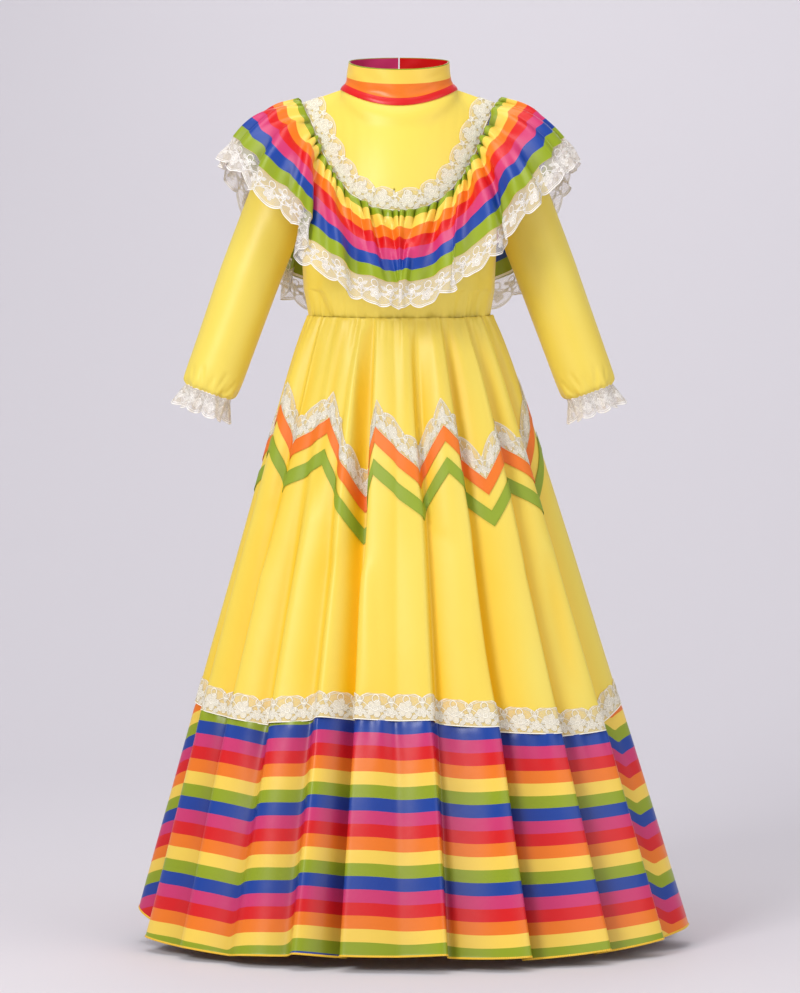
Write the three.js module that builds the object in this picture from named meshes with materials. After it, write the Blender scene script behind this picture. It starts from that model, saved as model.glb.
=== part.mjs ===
// A girl's fiesta dress in yellow satin, with rainbow-striped satin at the collar, the
// gathered shoulder ruffle and the hem flounce, lace edgings and zigzag ribbons.
// It is modelled as it hangs when worn: a hollow garment of thin cloth walls.
// Millimetres, +Z up, the front faces -Y. The origin is midway between the shoulders,
// level with the sides of the neck seam.
import * as THREE from "three";

// Walls and gaps.
const CLOTH = 1.6;
const TRIM = 1;
const SEAM_GAP = 0.5;
const LAY_GAP = 1.1;

// Driving sizes of the torso, the collar, the sleeves and the skirt.
const NECK = { halfWidth: 69, halfDepth: 55, centreY: 2, frontDrop: 18, backRise: 3 };
const SHOULDER = { tipX: 140, tipY: 8, tipZ: -25 };
const UNDERARM = { halfWidth: 117, front: 97, back: 88, z: -166 };
const WAIST = { halfWidth: 108, front: 84, back: 80, z: -269 };
const BLOUSE = { z: -238, halfWidth: 114, front: 94, back: 88 };
const COLLAR = {
  height: 34,
  topHalfWidth: 60,
  topHalfDepth: 50,
  backOpening: 2.4,
  footFlare: 1.2,
  frontDip: 9,
  backDip: 4,
  lean: 3,
};
const ARM = { slope: 0.36, topX: 134, topZ: -100, bottomZ: -358, middleY: 6, forward: 16 };
const SKIRT = {
  hemHalfWidth: 311,
  hemFront: 238,
  hemBack: 232,
  centreX: 10,
  length: 755,
  hipFlare: 5,
  hipRun: 36,
  foldsAtWaist: 0.1,
  foldPower: 0.85,
};
const HEM_LACE = 31;
const RIBBON_DROP = 19;
const ZIGZAG_LACE = 33;
const RUFFLE = {
  shoulderX: 117,
  edgeHalfWidth: 195,
  edgeFront: 146,
  edgeBack: 136,
  edgeTopZ: -58,
  frontFall: 165,
  frontPower: 2.3,
  backFall: 192,
  backPower: 0.85,
  fanFront: 1.8,
  fanBack: 1.15,
  lift: 3.5,
  crown: 15,
  crownInFront: -2,
  crownOverShoulder: 8,
  belly: 10,
  lace: 35,
};
const YOKE_LACE = 27;
const CUFF_LACE = 29;

const DEG = Math.PI / 180;
const lerp = (a, b, t) => a + (b - a) * t;
const ease = (t) => t * t * (3 - 2 * t);
const clamp = (t) => Math.min(1, Math.max(0, t));

// The value of a table's column at a key, with a soft curve between its rows.
function tableAt(rows, key, column, at) {
  if (at <= rows[0][key]) return rows[0][column];
  for (let i = 1; i < rows.length; i++) {
    const [a, b] = [rows[i - 1], rows[i]];
    if (at <= b[key]) return lerp(a[column], b[column], ease((at - a[key]) / (b[key] - a[key])));
  }
  return rows[rows.length - 1][column];
}

// Evenly spaced numbers from a to b, both ends included.
function steps(a, b, count) {
  return Array.from({ length: count + 1 }, (_, i) => lerp(a, b, i / count));
}

// A surface's outward unit normal, from its two directions.
function normalAt(surface, u, v, du, dv) {
  const along = surface(u + du, v).sub(surface(u - du, v));
  const down = surface(u, v + dv).sub(surface(u, v - dv));
  return down.cross(along).normalize();
}

// A closed wall on a surface, between two offsets along its normal. `flip` is for a surface
// whose normal points to the inside, and `square` may turn a normal at a seam. A cell that
// `hole` names is left open right through. With `ring`, the last column meets the first.
function wall(surface, us, vs, shape) {
  const { inner, outer, du, dv, flip, ring, hole = () => false, square = (n) => n } = shape;
  const points = [];
  const faces = [];
  const rows = vs.length;
  const away = flip ? -1 : 1;
  for (const offset of [outer, inner]) {
    for (const u of us) {
      for (const v of vs) {
        const at = typeof v === "function" ? v(u) : v;
        const normal = square(normalAt(surface, u, at, du, dv), u, at);
        points.push(surface(u, at).addScaledVector(normal, offset * away));
      }
    }
  }
  const layer = us.length * rows;
  const id = (side, i, j) => side * layer + (i % us.length) * rows + j;
  const quad = (a, b, c, d) => faces.push(a, b, c, a, c, d);
  const columns = ring ? us.length : us.length - 1;
  const open = (i, j) => {
    if (j < 0 || j >= rows - 1) return true;
    if (!ring && (i < 0 || i >= columns)) return true;
    return hole((i + columns) % columns, j);
  };
  for (let i = 0; i < columns; i++) {
    for (let j = 0; j < rows - 1; j++) {
      if (open(i, j)) continue;
      quad(id(0, i, j), id(0, i, j + 1), id(0, i + 1, j + 1), id(0, i + 1, j));
      quad(id(1, i, j), id(1, i + 1, j), id(1, i + 1, j + 1), id(1, i, j + 1));
      if (open(i, j - 1)) quad(id(0, i, j), id(0, i + 1, j), id(1, i + 1, j), id(1, i, j));
      if (open(i, j + 1)) quad(id(0, i, j + 1), id(1, i, j + 1), id(1, i + 1, j + 1), id(0, i + 1, j + 1));
      if (open(i - 1, j)) quad(id(0, i, j), id(1, i, j), id(1, i, j + 1), id(0, i, j + 1));
      if (open(i + 1, j)) quad(id(0, i + 1, j), id(0, i + 1, j + 1), id(1, i + 1, j + 1), id(1, i + 1, j));
    }
  }
  return solid(points, faces);
}

// A geometry whose faces point outwards, from points and corner numbers.
function solid(points, faces) {
  let volume = 0;
  for (let k = 0; k < faces.length; k += 3) {
    const [a, b, c] = [points[faces[k]], points[faces[k + 1]], points[faces[k + 2]]];
    volume += a.dot(b.clone().cross(c));
  }
  if (volume < 0) faces.reverse();
  const geometry = new THREE.BufferGeometry();
  const coordinates = points.flatMap((p) => p.toArray());
  geometry.setAttribute("position", new THREE.Float32BufferAttribute(coordinates, 3));
  geometry.setIndex(faces);
  geometry.computeVertexNormals();
  return geometry;
}

// Torso. Front and back are patches: t runs from one side seam to the other, -1 to 1, and
// s runs from the neck and shoulder seam, 0, over the underarm level, 1, to the waist, 2.
const NECK_SHARE = 0.5;
const TORSO = [
  { s: 1, halfWidth: UNDERARM.halfWidth, front: UNDERARM.front, back: UNDERARM.back, z: UNDERARM.z },
  { s: 1.7, halfWidth: BLOUSE.halfWidth, front: BLOUSE.front, back: BLOUSE.back, z: BLOUSE.z },
  { s: 2, halfWidth: WAIST.halfWidth, front: WAIST.front, back: WAIST.back, z: WAIST.z },
];
const GATHERS = { count: 26, depth: 2.6 };

// How the walls curve in at the armholes, and how far along the fall from the top seam to
// the underarm the middle of that curve lies.
const ARMHOLE = { power: 7, front: 46, back: 44, inward: 20 };
const FALL = { x: 0.5, y: 0.85, z: 0.32 };

// The point of the neck and shoulder seam at t, on the front or the back.
function topSeam(t, isFront) {
  const side = Math.sign(t) || 1;
  const share = Math.abs(t);
  if (share <= NECK_SHARE) {
    const turn = (share / NECK_SHARE) * 90 * DEG;
    const x = side * NECK.halfWidth * Math.sin(turn);
    const depth = NECK.halfDepth * Math.cos(turn);
    const z = (isFront ? -NECK.frontDrop : NECK.backRise) * Math.cos(turn) ** 2;
    return new THREE.Vector3(x, NECK.centreY + (isFront ? -depth : depth), z);
  }
  const out = (share - NECK_SHARE) / (1 - NECK_SHARE);
  const y = lerp(NECK.centreY, SHOULDER.tipY, out);
  return new THREE.Vector3(side * lerp(NECK.halfWidth, SHOULDER.tipX, out), y, SHOULDER.tipZ * out);
}

// A level section of the torso below the underarm, with soft gathers just above the waist.
function torsoSection(turn, s, isFront) {
  const halfWidth = tableAt(TORSO, "s", "halfWidth", s);
  const depth = tableAt(TORSO, "s", isFront ? "front" : "back", s);
  const near = clamp((s - 1.45) / 0.5);
  const wave = GATHERS.depth * near * Math.sin(turn * GATHERS.count + 0.6 * Math.sin(turn * 5));
  const x = (halfWidth + wave) * Math.sin(turn);
  const y = (depth + wave) * Math.cos(turn);
  return new THREE.Vector3(x, isFront ? -y : y, tableAt(TORSO, "s", "z", s));
}

function torsoPoint(t, s, isFront) {
  const turn = t * 90 * DEG;
  if (s > 1) return torsoSection(turn, Math.min(s, 2), isFront);
  const top = topSeam(Math.max(-1, Math.min(1, t)), isFront);
  const low = torsoSection(turn, 1, isFront);
  const armhole = Math.abs(t) ** ARMHOLE.power;
  const forward = (isFront ? -ARMHOLE.front : ARMHOLE.back) * armhole;
  const middle = new THREE.Vector3(
    lerp(top.x, low.x, FALL.x) - Math.sign(t) * ARMHOLE.inward * armhole,
    lerp(top.y, low.y, FALL.y) + forward,
    lerp(top.z, low.z, FALL.z),
  );
  const rest = 1 - s;
  top.multiplyScalar(rest * rest);
  return top.addScaledVector(middle, 2 * rest * s).addScaledVector(low, s * s);
}

// The patch numbers t and s of the torso point that a front view shows at x and z.
function torsoAt(x, z, isFront) {
  let [t, s] = [clamp(Math.abs(x) / 150), 0.5];
  const step = 1e-4;
  for (let i = 0; i < 40; i++) {
    const p = torsoPoint(t, s, isFront);
    const byT = torsoPoint(t + step, s, isFront).sub(p).divideScalar(step);
    const byS = torsoPoint(t, s + step, isFront).sub(p).divideScalar(step);
    const det = byT.x * byS.z - byS.x * byT.z;
    const [ex, ez] = [Math.abs(x) - p.x, z - p.z];
    t = Math.max(0, Math.min(0.99, t + (0.6 * (ex * byS.z - byS.x * ez)) / det));
    s = Math.max(0, Math.min(1.6, s + (0.6 * (byT.x * ez - ex * byT.z)) / det));
  }
  return { t: x < 0 ? -t : t, s };
}

// At the shoulder and side seams the walls of front and back are cut square to the seam.
function squareAtSeam(normal, t, s) {
  if (Math.abs(t) > 0.99 || (s < 0.01 && Math.abs(t) > NECK_SHARE)) normal.y = 0;
  return normal.normalize();
}

const BODICE_ROWS = [0, 0.14, 0.34, 0.58, 0.8, 1, 1.4, 1.72, 1.88, 2];

function bodicePanel(isFront, from, to, columns) {
  const inset = 0.0035;
  const ts = steps(from + inset, to - inset, columns);
  const rows = [0.004, ...BODICE_ROWS.slice(1, -1), 1.998];
  const offsets = { inner: -CLOTH, outer: 0, du: 1e-3, dv: 1e-3 };
  const shape = { ...offsets, square: squareAtSeam, flip: !isFront };
  return wall((t, s) => torsoPoint(t, s, isFront), ts, rows, shape);
}

// Collar: a stand-up band round the neck seam, open at the centre back.
function collarPoint(turn, share) {
  const [c, s] = [Math.cos(turn * DEG), Math.sin(turn * DEG)];
  const isFoot = share < 0.35;
  const spread = isFoot ? lerp(1, 0.25, ease(share / 0.35)) : lerp(0.25, 0, (share - 0.35) / 0.65);
  const halfWidth = lerp(COLLAR.topHalfWidth, NECK.halfWidth + COLLAR.footFlare, spread);
  const halfDepth = lerp(COLLAR.topHalfDepth, NECK.halfDepth + COLLAR.footFlare, spread);
  const foot = c > 0 ? -NECK.frontDrop * c * c : NECK.backRise * c * c;
  const top = COLLAR.height - c * (c > 0 ? COLLAR.frontDip : COLLAR.backDip);
  const z = lerp(foot + SEAM_GAP, top, share);
  return new THREE.Vector3(s * halfWidth, NECK.centreY - c * halfDepth - COLLAR.lean * share, z);
}

function collarBand() {
  const gap = (COLLAR.backOpening / 2 / COLLAR.topHalfDepth / DEG) * 0.9;
  const turns = steps(-180 + gap, 180 - gap, 34);
  const offsets = { inner: -CLOTH, outer: 0, du: 0.1, dv: 0.005 };
  return wall(collarPoint, turns, [0, 0.18, 0.36, 1], { ...offsets, flip: true });
}

// Sleeves. Turn 0 is the outside of the arm, 90 the front and 180 the underarm. The rows run
// down from the armhole. The elastic draws the end in, and a few folds run up from it.
const SLEEVE_ROWS = [
  { row: 0, z: -214, radius: 38, armhole: 1, fold: 0 },
  { row: 1, z: -214, radius: 38, armhole: 0.6, fold: 0 },
  { row: 2, z: -214, radius: 37, armhole: 0.24, fold: 0 },
  { row: 3, z: -222, radius: 36.5, armhole: 0, fold: 0 },
  { row: 4, z: -276, radius: 35.5, armhole: 0, fold: 0 },
  { row: 5, z: -318, radius: 34.5, armhole: 0, fold: 0.4 },
  { row: 6, z: -343, radius: 34, armhole: 0, fold: 1.6 },
  { row: 7, z: -355, radius: 31, armhole: 0, fold: 3 },
  { row: 8, z: -360, radius: 26.5, armhole: 0, fold: 2.4 },
];
const CUFF_FOLDS = 8;
function cuffFold(turn, depth) {
  return depth * Math.sin(turn * DEG * CUFF_FOLDS + 0.7 * Math.sin(turn * DEG * 3));
}

// The armhole seam of the +X side, from the shoulder tip round the front to the underarm
// and up the back.
function armholePoint(turn) {
  const around = ((turn % 360) + 360) % 360;
  const isFront = around <= 180;
  const s = isFront ? around / 180 : (360 - around) / 180;
  const i = Math.max(1, BODICE_ROWS.findIndex((row) => row >= s));
  const [above, below] = [BODICE_ROWS[i - 1], BODICE_ROWS[i]];
  const share = (s - above) / (below - above);
  const seam = torsoPoint(1, above, isFront).lerp(torsoPoint(1, below, isFront), share);
  seam.x += SEAM_GAP + 1.1;
  return seam;
}

function sleevePoint(turn, row) {
  const at = (column) => {
    const low = Math.min(SLEEVE_ROWS.length - 2, Math.max(0, Math.floor(row)));
    return lerp(SLEEVE_ROWS[low][column], SLEEVE_ROWS[low + 1][column], row - low);
  };
  const tilt = Math.atan(ARM.slope);
  const z = at("z");
  const down = (ARM.topZ - z) / (ARM.topZ - ARM.bottomZ);
  const centreX = ARM.topX + (ARM.topZ - z) * ARM.slope;
  const centre = new THREE.Vector3(centreX, ARM.middleY - ARM.forward * down, z);
  const outwards = new THREE.Vector3(Math.cos(tilt), 0, Math.sin(tilt));
  const radius = at("radius") + cuffFold(turn, at("fold"));
  const ringPoint = centre
    .addScaledVector(outwards, radius * Math.cos(turn * DEG))
    .add(new THREE.Vector3(0, -radius * Math.sin(turn * DEG), 0));
  return ringPoint.lerp(armholePoint(turn), at("armhole"));
}

const mirrored = (surface, side) => (u, v) => {
  const p = surface(u, v);
  p.x *= side;
  return p;
};

function sleeveTube(side) {
  const turns = steps(0, 360, 26).slice(0, -1);
  const rows = SLEEVE_ROWS.map((r) => r.row);
  const offsets = { inner: -CLOTH, outer: 0, du: 1, dv: 0.04 };
  return wall(mirrored(sleevePoint, side), turns, rows, { ...offsets, flip: side > 0, ring: true });
}

// Cuff lace: a short flared frill that starts at the elastic.
const CUFF_FRILL = { waves: 7, waveDepth: 5.5, endRadius: 34, scallops: 14, scallopDepth: 2 };
function cuffLacePoint(turn, share) {
  const tilt = Math.atan(ARM.slope);
  const end = SLEEVE_ROWS[SLEEVE_ROWS.length - 1];
  const start = end.z - SEAM_GAP;
  const outwards = new THREE.Vector3(Math.cos(tilt), 0, Math.sin(tilt));
  const along = new THREE.Vector3(Math.sin(tilt), 0, -Math.cos(tilt));
  const { waves, waveDepth, endRadius, scallops, scallopDepth } = CUFF_FRILL;
  const x = ARM.topX + (ARM.topZ - start) * ARM.slope;
  const centre = new THREE.Vector3(x, ARM.middleY - ARM.forward, start);
  const wave = waveDepth * share * Math.sin(turn * DEG * waves + 0.9 * Math.sin(turn * DEG * 2));
  const radius = lerp(end.radius + cuffFold(turn, end.fold), endRadius, share) + wave;
  const scallop = scallopDepth * Math.sin(turn * DEG * scallops);
  const point = centre.addScaledVector(along, (CUFF_LACE + scallop) * share);
  point.addScaledVector(outwards, radius * Math.cos(turn * DEG));
  point.y -= radius * Math.sin(turn * DEG);
  return point;
}

function cuffLace(side, from, to) {
  const inset = 0.9;
  const turns = steps(from + inset, to - inset, 21);
  const hole = (i, j) => j === 1 && i % 3 === 1;
  const shape = { inner: -TRIM, outer: 0, du: 1, dv: 0.02, flip: side > 0, hole };
  return wall(mirrored(cuffLacePoint, side), turns, [0, 0.3, 0.62, 1], shape);
}

// Skirt. u is the turn round the waist in degrees, 0 at the centre front and 90 at +X, and
// d is the distance down the cloth from the waist seam. Each fold rises from a valley to a
// crest. `deep` and `out` are how far these stand off the plain cone at the hem. `lean` is
// how many degrees the crest leans over the valley after it, or, if negative, before it.
const FOLDS = [
  { valley: -95, deep: -14, crest: -86, out: 10, lean: -3 },
  { valley: -78, deep: -16, crest: -71, out: 16, lean: -3.5 },
  { valley: -60, deep: -16, crest: -54.5, out: 15, lean: -3.5 },
  { valley: -43.5, deep: -15, crest: -38.5, out: 13, lean: -3 },
  { valley: -28.5, deep: -10, crest: -23, out: 12, lean: -2 },
  { valley: -16.5, deep: -30, crest: -12, out: 8, lean: -4.4 },
  { valley: -2, deep: 3, crest: 6, out: 15, lean: 3.4 },
  { valley: 11, deep: -14, crest: 23.5, out: 18, lean: 4 },
  { valley: 28.5, deep: -18, crest: 43, out: 19, lean: 4 },
  { valley: 48, deep: -16, crest: 62, out: 20, lean: 4 },
  { valley: 67, deep: -16, crest: 84, out: 20, lean: 3 },
  { valley: 92, deep: -14, crest: 104, out: 16, lean: 3 },
  { valley: 110, deep: -18, crest: 121, out: 15, lean: 4 },
  { valley: 128, deep: -14, crest: 140, out: 18, lean: 3 },
  { valley: 147, deep: -17, crest: 158, out: 14, lean: 4 },
  { valley: 165, deep: -12, crest: 175, out: 16, lean: 3 },
  { valley: 183, deep: -18, crest: 190, out: 17, lean: -4 },
  { valley: 201, deep: -14, crest: 208, out: 14, lean: -3 },
  { valley: 219, deep: -17, crest: 226, out: 18, lean: -4 },
  { valley: 236, deep: -14, crest: 242, out: 14, lean: -3 },
  { valley: 251, deep: -15, crest: 257, out: 14, lean: -3 },
];
const TURN = 360;
const FIRST = FOLDS[0].valley;

// A turn brought into the one that starts at `first`.
const inTurn = (u, first) => ((((u - first) % TURN) + TURN) % TURN) + first;

// How far the folds push the cloth out, and how many degrees sideways, at the hem.
function foldAt(u) {
  const turn = inTurn(u, FIRST);
  const i = FOLDS.findLastIndex((fold) => fold.valley <= turn);
  const fold = FOLDS[i];
  const before = FOLDS.at(i - 1);
  const after = FOLDS[(i + 1) % FOLDS.length];
  const end = after.valley + (i + 1 === FOLDS.length ? TURN : 0);
  const underFirst = -Math.max(before.lean, 0) / 2 - Math.min(fold.lean, 0) / 2;
  const underLast = -Math.max(fold.lean, 0) / 2 - Math.min(after.lean, 0) / 2;
  const rising = turn < fold.crest;
  const width = rising ? fold.crest - fold.valley : end - fold.crest;
  const share = rising ? (turn - fold.valley) / width : (end - turn) / width;
  const round = clamp((width - 5) / 4);
  const height = lerp(ease(share), Math.sin(share * 90 * DEG), round);
  const low = rising ? fold.deep : after.deep;
  return {
    out: lerp(low, fold.out, height),
    side: lerp(rising ? underFirst : underLast, fold.lean / 2, ease(share)),
  };
}

// The cut of the skirt and the flounce: where the flounce's seam and its hem lie, as
// distances down the cloth from the waist seam.
const CUT = [
  { u: -95, seam: 482, hem: 732 },
  { u: -78, seam: 486, hem: 752 },
  { u: -71, seam: 488, hem: 768 },
  { u: -43, seam: 490, hem: 766 },
  { u: -20, seam: 476, hem: 756 },
  { u: 6, seam: 479, hem: 755 },
  { u: 23, seam: 491, hem: 764 },
  { u: 43, seam: 507, hem: 769 },
  { u: 62, seam: 514, hem: 772 },
  { u: 84, seam: 492, hem: 772 },
  { u: 104, seam: 488, hem: 762 },
  { u: 140, seam: 500, hem: 768 },
  { u: 180, seam: 482, hem: 758 },
  { u: 226, seam: 498, hem: 764 },
  { u: 265, seam: 482, hem: 732 },
];

const WAIST_GATHERS = { count: 44, depth: 1.1, fade: 60 };
const flounceSeam = (u) => tableAt(CUT, "u", "seam", inTurn(u, FIRST));
const hemLine = (u) => tableAt(CUT, "u", "hem", inTurn(u, FIRST));

function skirtPoint(u, d) {
  const share = d / SKIRT.length;
  const fold = foldAt(u);
  const opened = lerp(SKIRT.foldsAtWaist, 1, clamp(share) ** SKIRT.foldPower);
  const turn = (u + fold.side * opened) * DEG;
  const isFront = Math.cos(turn) > 0;
  const waistDepth = isFront ? WAIST.front : WAIST.back;
  const hemDepth = isFront ? SKIRT.hemFront : SKIRT.hemBack;
  const hip = SKIRT.hipFlare * (1 - Math.exp(-d / SKIRT.hipRun));
  const gathered = WAIST_GATHERS.depth * Math.exp(-d / WAIST_GATHERS.fade);
  const gather = gathered * Math.sin(u * DEG * WAIST_GATHERS.count);
  const offset = fold.out * opened + gather + hip;
  const x = lerp(WAIST.halfWidth, SKIRT.hemHalfWidth, share) + offset;
  const y = lerp(waistDepth, hemDepth, share) + offset;
  const point = new THREE.Vector3(x * Math.sin(turn) + SKIRT.centreX * share, -y * Math.cos(turn), 0);
  const start = new THREE.Vector3(WAIST.halfWidth * Math.sin(turn), -waistDepth * Math.cos(turn), 0);
  const run = point.distanceTo(start);
  point.z = WAIST.z - Math.sign(d) * Math.sqrt(Math.max(0, d * d - run * run * (d > 0 ? 1 : 0)));
  return point;
}

// Zigzag of the ribbons: the distance from the waist seam to the top ribbon's upper edge.
const ZIGZAG = [
  { u: -98, down: 190 },
  { u: -69, down: 112 },
  { u: -57, down: 158 },
  { u: -35, down: 121 },
  { u: -16.5, down: 212 },
  { u: -10.5, down: 131 },
  { u: 8, down: 186 },
  { u: 19, down: 131 },
  { u: 36, down: 197 },
  { u: 47, down: 147 },
  { u: 66, down: 200 },
  { u: 84, down: 112 },
  { u: 103, down: 196 },
  { u: 121, down: 126 },
  { u: 139, down: 196 },
  { u: 157, down: 126 },
  { u: 175, down: 196 },
  { u: 191, down: 126 },
  { u: 206, down: 196 },
  { u: 221, down: 126 },
  { u: 235, down: 196 },
  { u: 249, down: 130 },
  { u: 262, down: 190 },
];

function zigzagAt(u) {
  const turn = inTurn(u, ZIGZAG[0].u);
  const i = Math.max(1, ZIGZAG.findIndex((corner) => corner.u > turn));
  const [a, b] = [ZIGZAG[i - 1], ZIGZAG[i]];
  return lerp(a.down, b.down, (turn - a.u) / (b.u - a.u));
}

// The turns at which the skirt and all that lies on it have their columns.
function skirtColumns() {
  const seams = [-90, 90, 180];
  const turns = [...ZIGZAG.slice(1).map((corner) => corner.u), ...seams];
  FOLDS.forEach((fold, i) => {
    const end = i + 1 < FOLDS.length ? FOLDS[i + 1].valley : FIRST + TURN;
    const wide = fold.lean > 0 ? [fold.valley, fold.crest] : [fold.crest, end];
    const narrow = fold.lean > 0 ? [fold.crest, end] : [fold.valley, fold.crest];
    const inWide = fold.lean > 0 ? 0.42 : 0.58;
    turns.push(fold.valley, fold.crest, lerp(...narrow, 0.5), lerp(...wide, inWide));
  });
  const sorted = turns.map((u) => inTurn(u, -90)).sort((a, b) => a - b);
  const kept = [];
  for (const u of sorted) {
    const last = kept[kept.length - 1];
    if (last === undefined || u - last > 1.5) kept.push(u);
    else if (seams.includes(u)) kept[kept.length - 1] = u;
  }
  return kept;
}

const COLUMNS = skirtColumns();

// The columns of one panel, with its two seams drawn in by half a gap each.
function panelColumns(from, to) {
  const inset = 0.12;
  const placed = COLUMNS.map((u) => (u < from ? u + TURN : u));
  const between = placed.filter((u) => u > from + 0.6 && u < to - 0.6);
  return [from + inset, ...between.sort((a, b) => a - b), to - inset];
}

const SKIRT_ROWS = [0.0015, 0.07, 0.2, 0.4, 0.7];

function skirtPanel(from, to) {
  const rows = SKIRT_ROWS.map((share) => (u) => flounceSeam(u) * share);
  rows.push((u) => flounceSeam(u) - SEAM_GAP / 2);
  return wall(skirtPoint, panelColumns(from, to), rows, { inner: -CLOTH, outer: 0, du: 0.2, dv: 0.5 });
}

function flouncePanel(from, to) {
  const top = (u) => flounceSeam(u) + SEAM_GAP / 2;
  const rows = [0, 0.3, 0.66, 1].map((share) => (u) => lerp(top(u), hemLine(u), share));
  return wall(skirtPoint, panelColumns(from, to), rows, { inner: -CLOTH, outer: 0, du: 0.2, dv: 0.5 });
}

// A band that lies on the skirt all round, between two distances from the waist.
function skirtBand(from, to) {
  const offsets = { inner: LAY_GAP, outer: LAY_GAP + TRIM };
  return wall(skirtPoint, COLUMNS, [from, to], { ...offsets, du: 0.2, dv: 0.5, ring: true });
}

// Seam line of the shoulder ruffle. w is the turn round it in degrees: 0 at the centre front,
// 90 over the +X shoulder, 180 at the centre back. The tables give its outline from the front
// and from the back.
const SEAM_FRONT = [
  { w: 0, x: 0, z: -143 },
  { w: 16, x: 32, z: -138 },
  { w: 30, x: 57, z: -123 },
  { w: 43, x: 76, z: -101 },
  { w: 56, x: 91, z: -74 },
  { w: 70, x: 102, z: -45 },
  { w: 82, x: 112, z: -25 },
  { w: 90, x: RUFFLE.shoulderX, z: -17 },
];
const SEAM_BACK = [
  { w: 0, x: 0, z: -158 },
  { w: 18, x: 40, z: -154 },
  { w: 35, x: 73, z: -140 },
  { w: 50, x: 92, z: -114 },
  { w: 64, x: 103, z: -82 },
  { w: 78, x: 111, z: -42 },
  { w: 90, x: RUFFLE.shoulderX, z: -17 },
];

// A straight line between table rows, for outlines whose rows are close together.
function tableLine(rows, key, column, at) {
  const i = Math.max(1, rows.findIndex((row) => row[key] >= at));
  const [a, b] = [rows[i - 1], rows[i]];
  return lerp(a[column], b[column], clamp((at - a[key]) / (b[key] - a[key])));
}

// A turn of the whole loop as a side, a front or back table and the turn within it.
function seamPart(w) {
  const turn = ((((w + 180) % TURN) + TURN) % TURN) - 180;
  const isFront = Math.abs(turn) <= 90;
  return { side: turn < 0 ? -1 : 1, isFront, turn: isFront ? Math.abs(turn) : 180 - Math.abs(turn) };
}

// A line parallel to the ruffle's seam line, `inside` millimetres nearer to the neck.
function seamPoint(w, inside = 0) {
  const { side, isFront, turn } = seamPart(w);
  const rows = isFront ? SEAM_FRONT : SEAM_BACK;
  const x = tableLine(rows, "w", "x", turn);
  const z = tableLine(rows, "w", "z", turn);
  const step = 4;
  const ahead = Math.min(90, turn + step);
  const behind = Math.max(0, turn - step);
  let [ax, az] = [tableLine(rows, "w", "x", ahead), tableLine(rows, "w", "z", ahead)];
  let [bx, bz] = [tableLine(rows, "w", "x", behind), tableLine(rows, "w", "z", behind)];
  if (turn < step) [bx, bz] = [-ax, az];
  if (turn > 90 - step) [ax, az] = [2 * x - bx, 2 * z - bz];
  const length = Math.hypot(ax - bx, az - bz);
  const level = ease(clamp((turn - 60) / 30));
  const toNeckX = lerp(-(az - bz) / length, -0.94, level);
  const toNeckZ = lerp((ax - bx) / length, 0.34, level);
  const overTop = turn > 89.9;
  const fromTip = (SHOULDER.tipX - x + inside * 0.94) / (SHOULDER.tipX - NECK.halfWidth);
  const at = overTop
    ? { t: lerp(1, NECK_SHARE, fromTip), s: 0 }
    : torsoAt(x + toNeckX * inside, z + toNeckZ * inside, isFront);
  const t = side * Math.abs(at.t);
  const s = lerp(at.s, 0, ease(clamp((turn - 84) / 6)));
  return { point: torsoPoint(t, s, isFront), t, s, isFront };
}

// The torso's outward normal at a seam point.
function torsoNormal({ t, s, isFront }) {
  const surface = (a, b) => torsoPoint(a, b, isFront);
  const inT = Math.max(-0.98, Math.min(0.98, t));
  const normal = normalAt(surface, inT, Math.max(0.01, s), 0.004, 0.004);
  const away = new THREE.Vector3(0, isFront ? -1 : 1, 0.4);
  return normal.dot(away) < 0 ? normal.negate() : normal;
}

// The seam line itself, standing a little off the torso, worked out once for each turn.
const seamCache = new Map();
function seamLifted(w, lift, inside = 0) {
  const key = `${w.toFixed(4)}/${inside}`;
  if (!seamCache.has(key)) {
    const seam = seamPoint(w, inside);
    seamCache.set(key, { point: seam.point, normal: torsoNormal(seam) });
  }
  const { point, normal } = seamCache.get(key);
  return point.clone().addScaledVector(normal, lift);
}

// Yoke lace: a flat band inside the ruffle's seam line.
function yokeLacePoint(w, inside) {
  return seamLifted(w, 0, inside);
}

const WAVES = { count: 24, seam: 1.2, edge: 7 };

// The big fold at the wearer's right shoulder, where the shoulder part laps over the front.
const LAP = { at: -58, width: 7, out: 13, side: 16 };

// The cloth fans out: the edge's turn for a turn w of the seam.
function edgeTurn(w) {
  const { side, isFront, turn } = seamPart(w);
  const spread = 90 * (turn / 90) ** (isFront ? RUFFLE.fanFront : RUFFLE.fanBack);
  return side * (isFront ? spread : 180 - spread);
}

// The turn of the seam that lies opposite a turn of the edge.
function seamTurn(edge) {
  const { side, isFront, turn } = seamPart(edge);
  const w = 90 * (turn / 90) ** (1 / (isFront ? RUFFLE.fanFront : RUFFLE.fanBack));
  return side * (isFront ? w : 180 - w);
}

// How far a ruffle wave stands out, from -1 to 1.
function waveAt(w) {
  const turn = edgeTurn(w) * DEG;
  return Math.sin(turn * WAVES.count + 1.2 * Math.sin(turn * 5) + 0.7 * Math.sin(turn * 9 + 1));
}

// The free edge of the striped ruffle, before its waves.
function ruffleEdge(w) {
  const spread = edgeTurn(w) * DEG;
  const [c, s] = [Math.abs(Math.cos(spread)), Math.sin(spread)];
  const { isFront } = seamPart(w);
  const y = isFront ? -RUFFLE.edgeFront * c : RUFFLE.edgeBack * c;
  const [reach, power] = isFront
    ? [RUFFLE.frontFall, RUFFLE.frontPower]
    : [RUFFLE.backFall, RUFFLE.backPower];
  return new THREE.Vector3(RUFFLE.edgeHalfWidth * s, y, RUFFLE.edgeTopZ - reach * c ** power);
}

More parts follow.
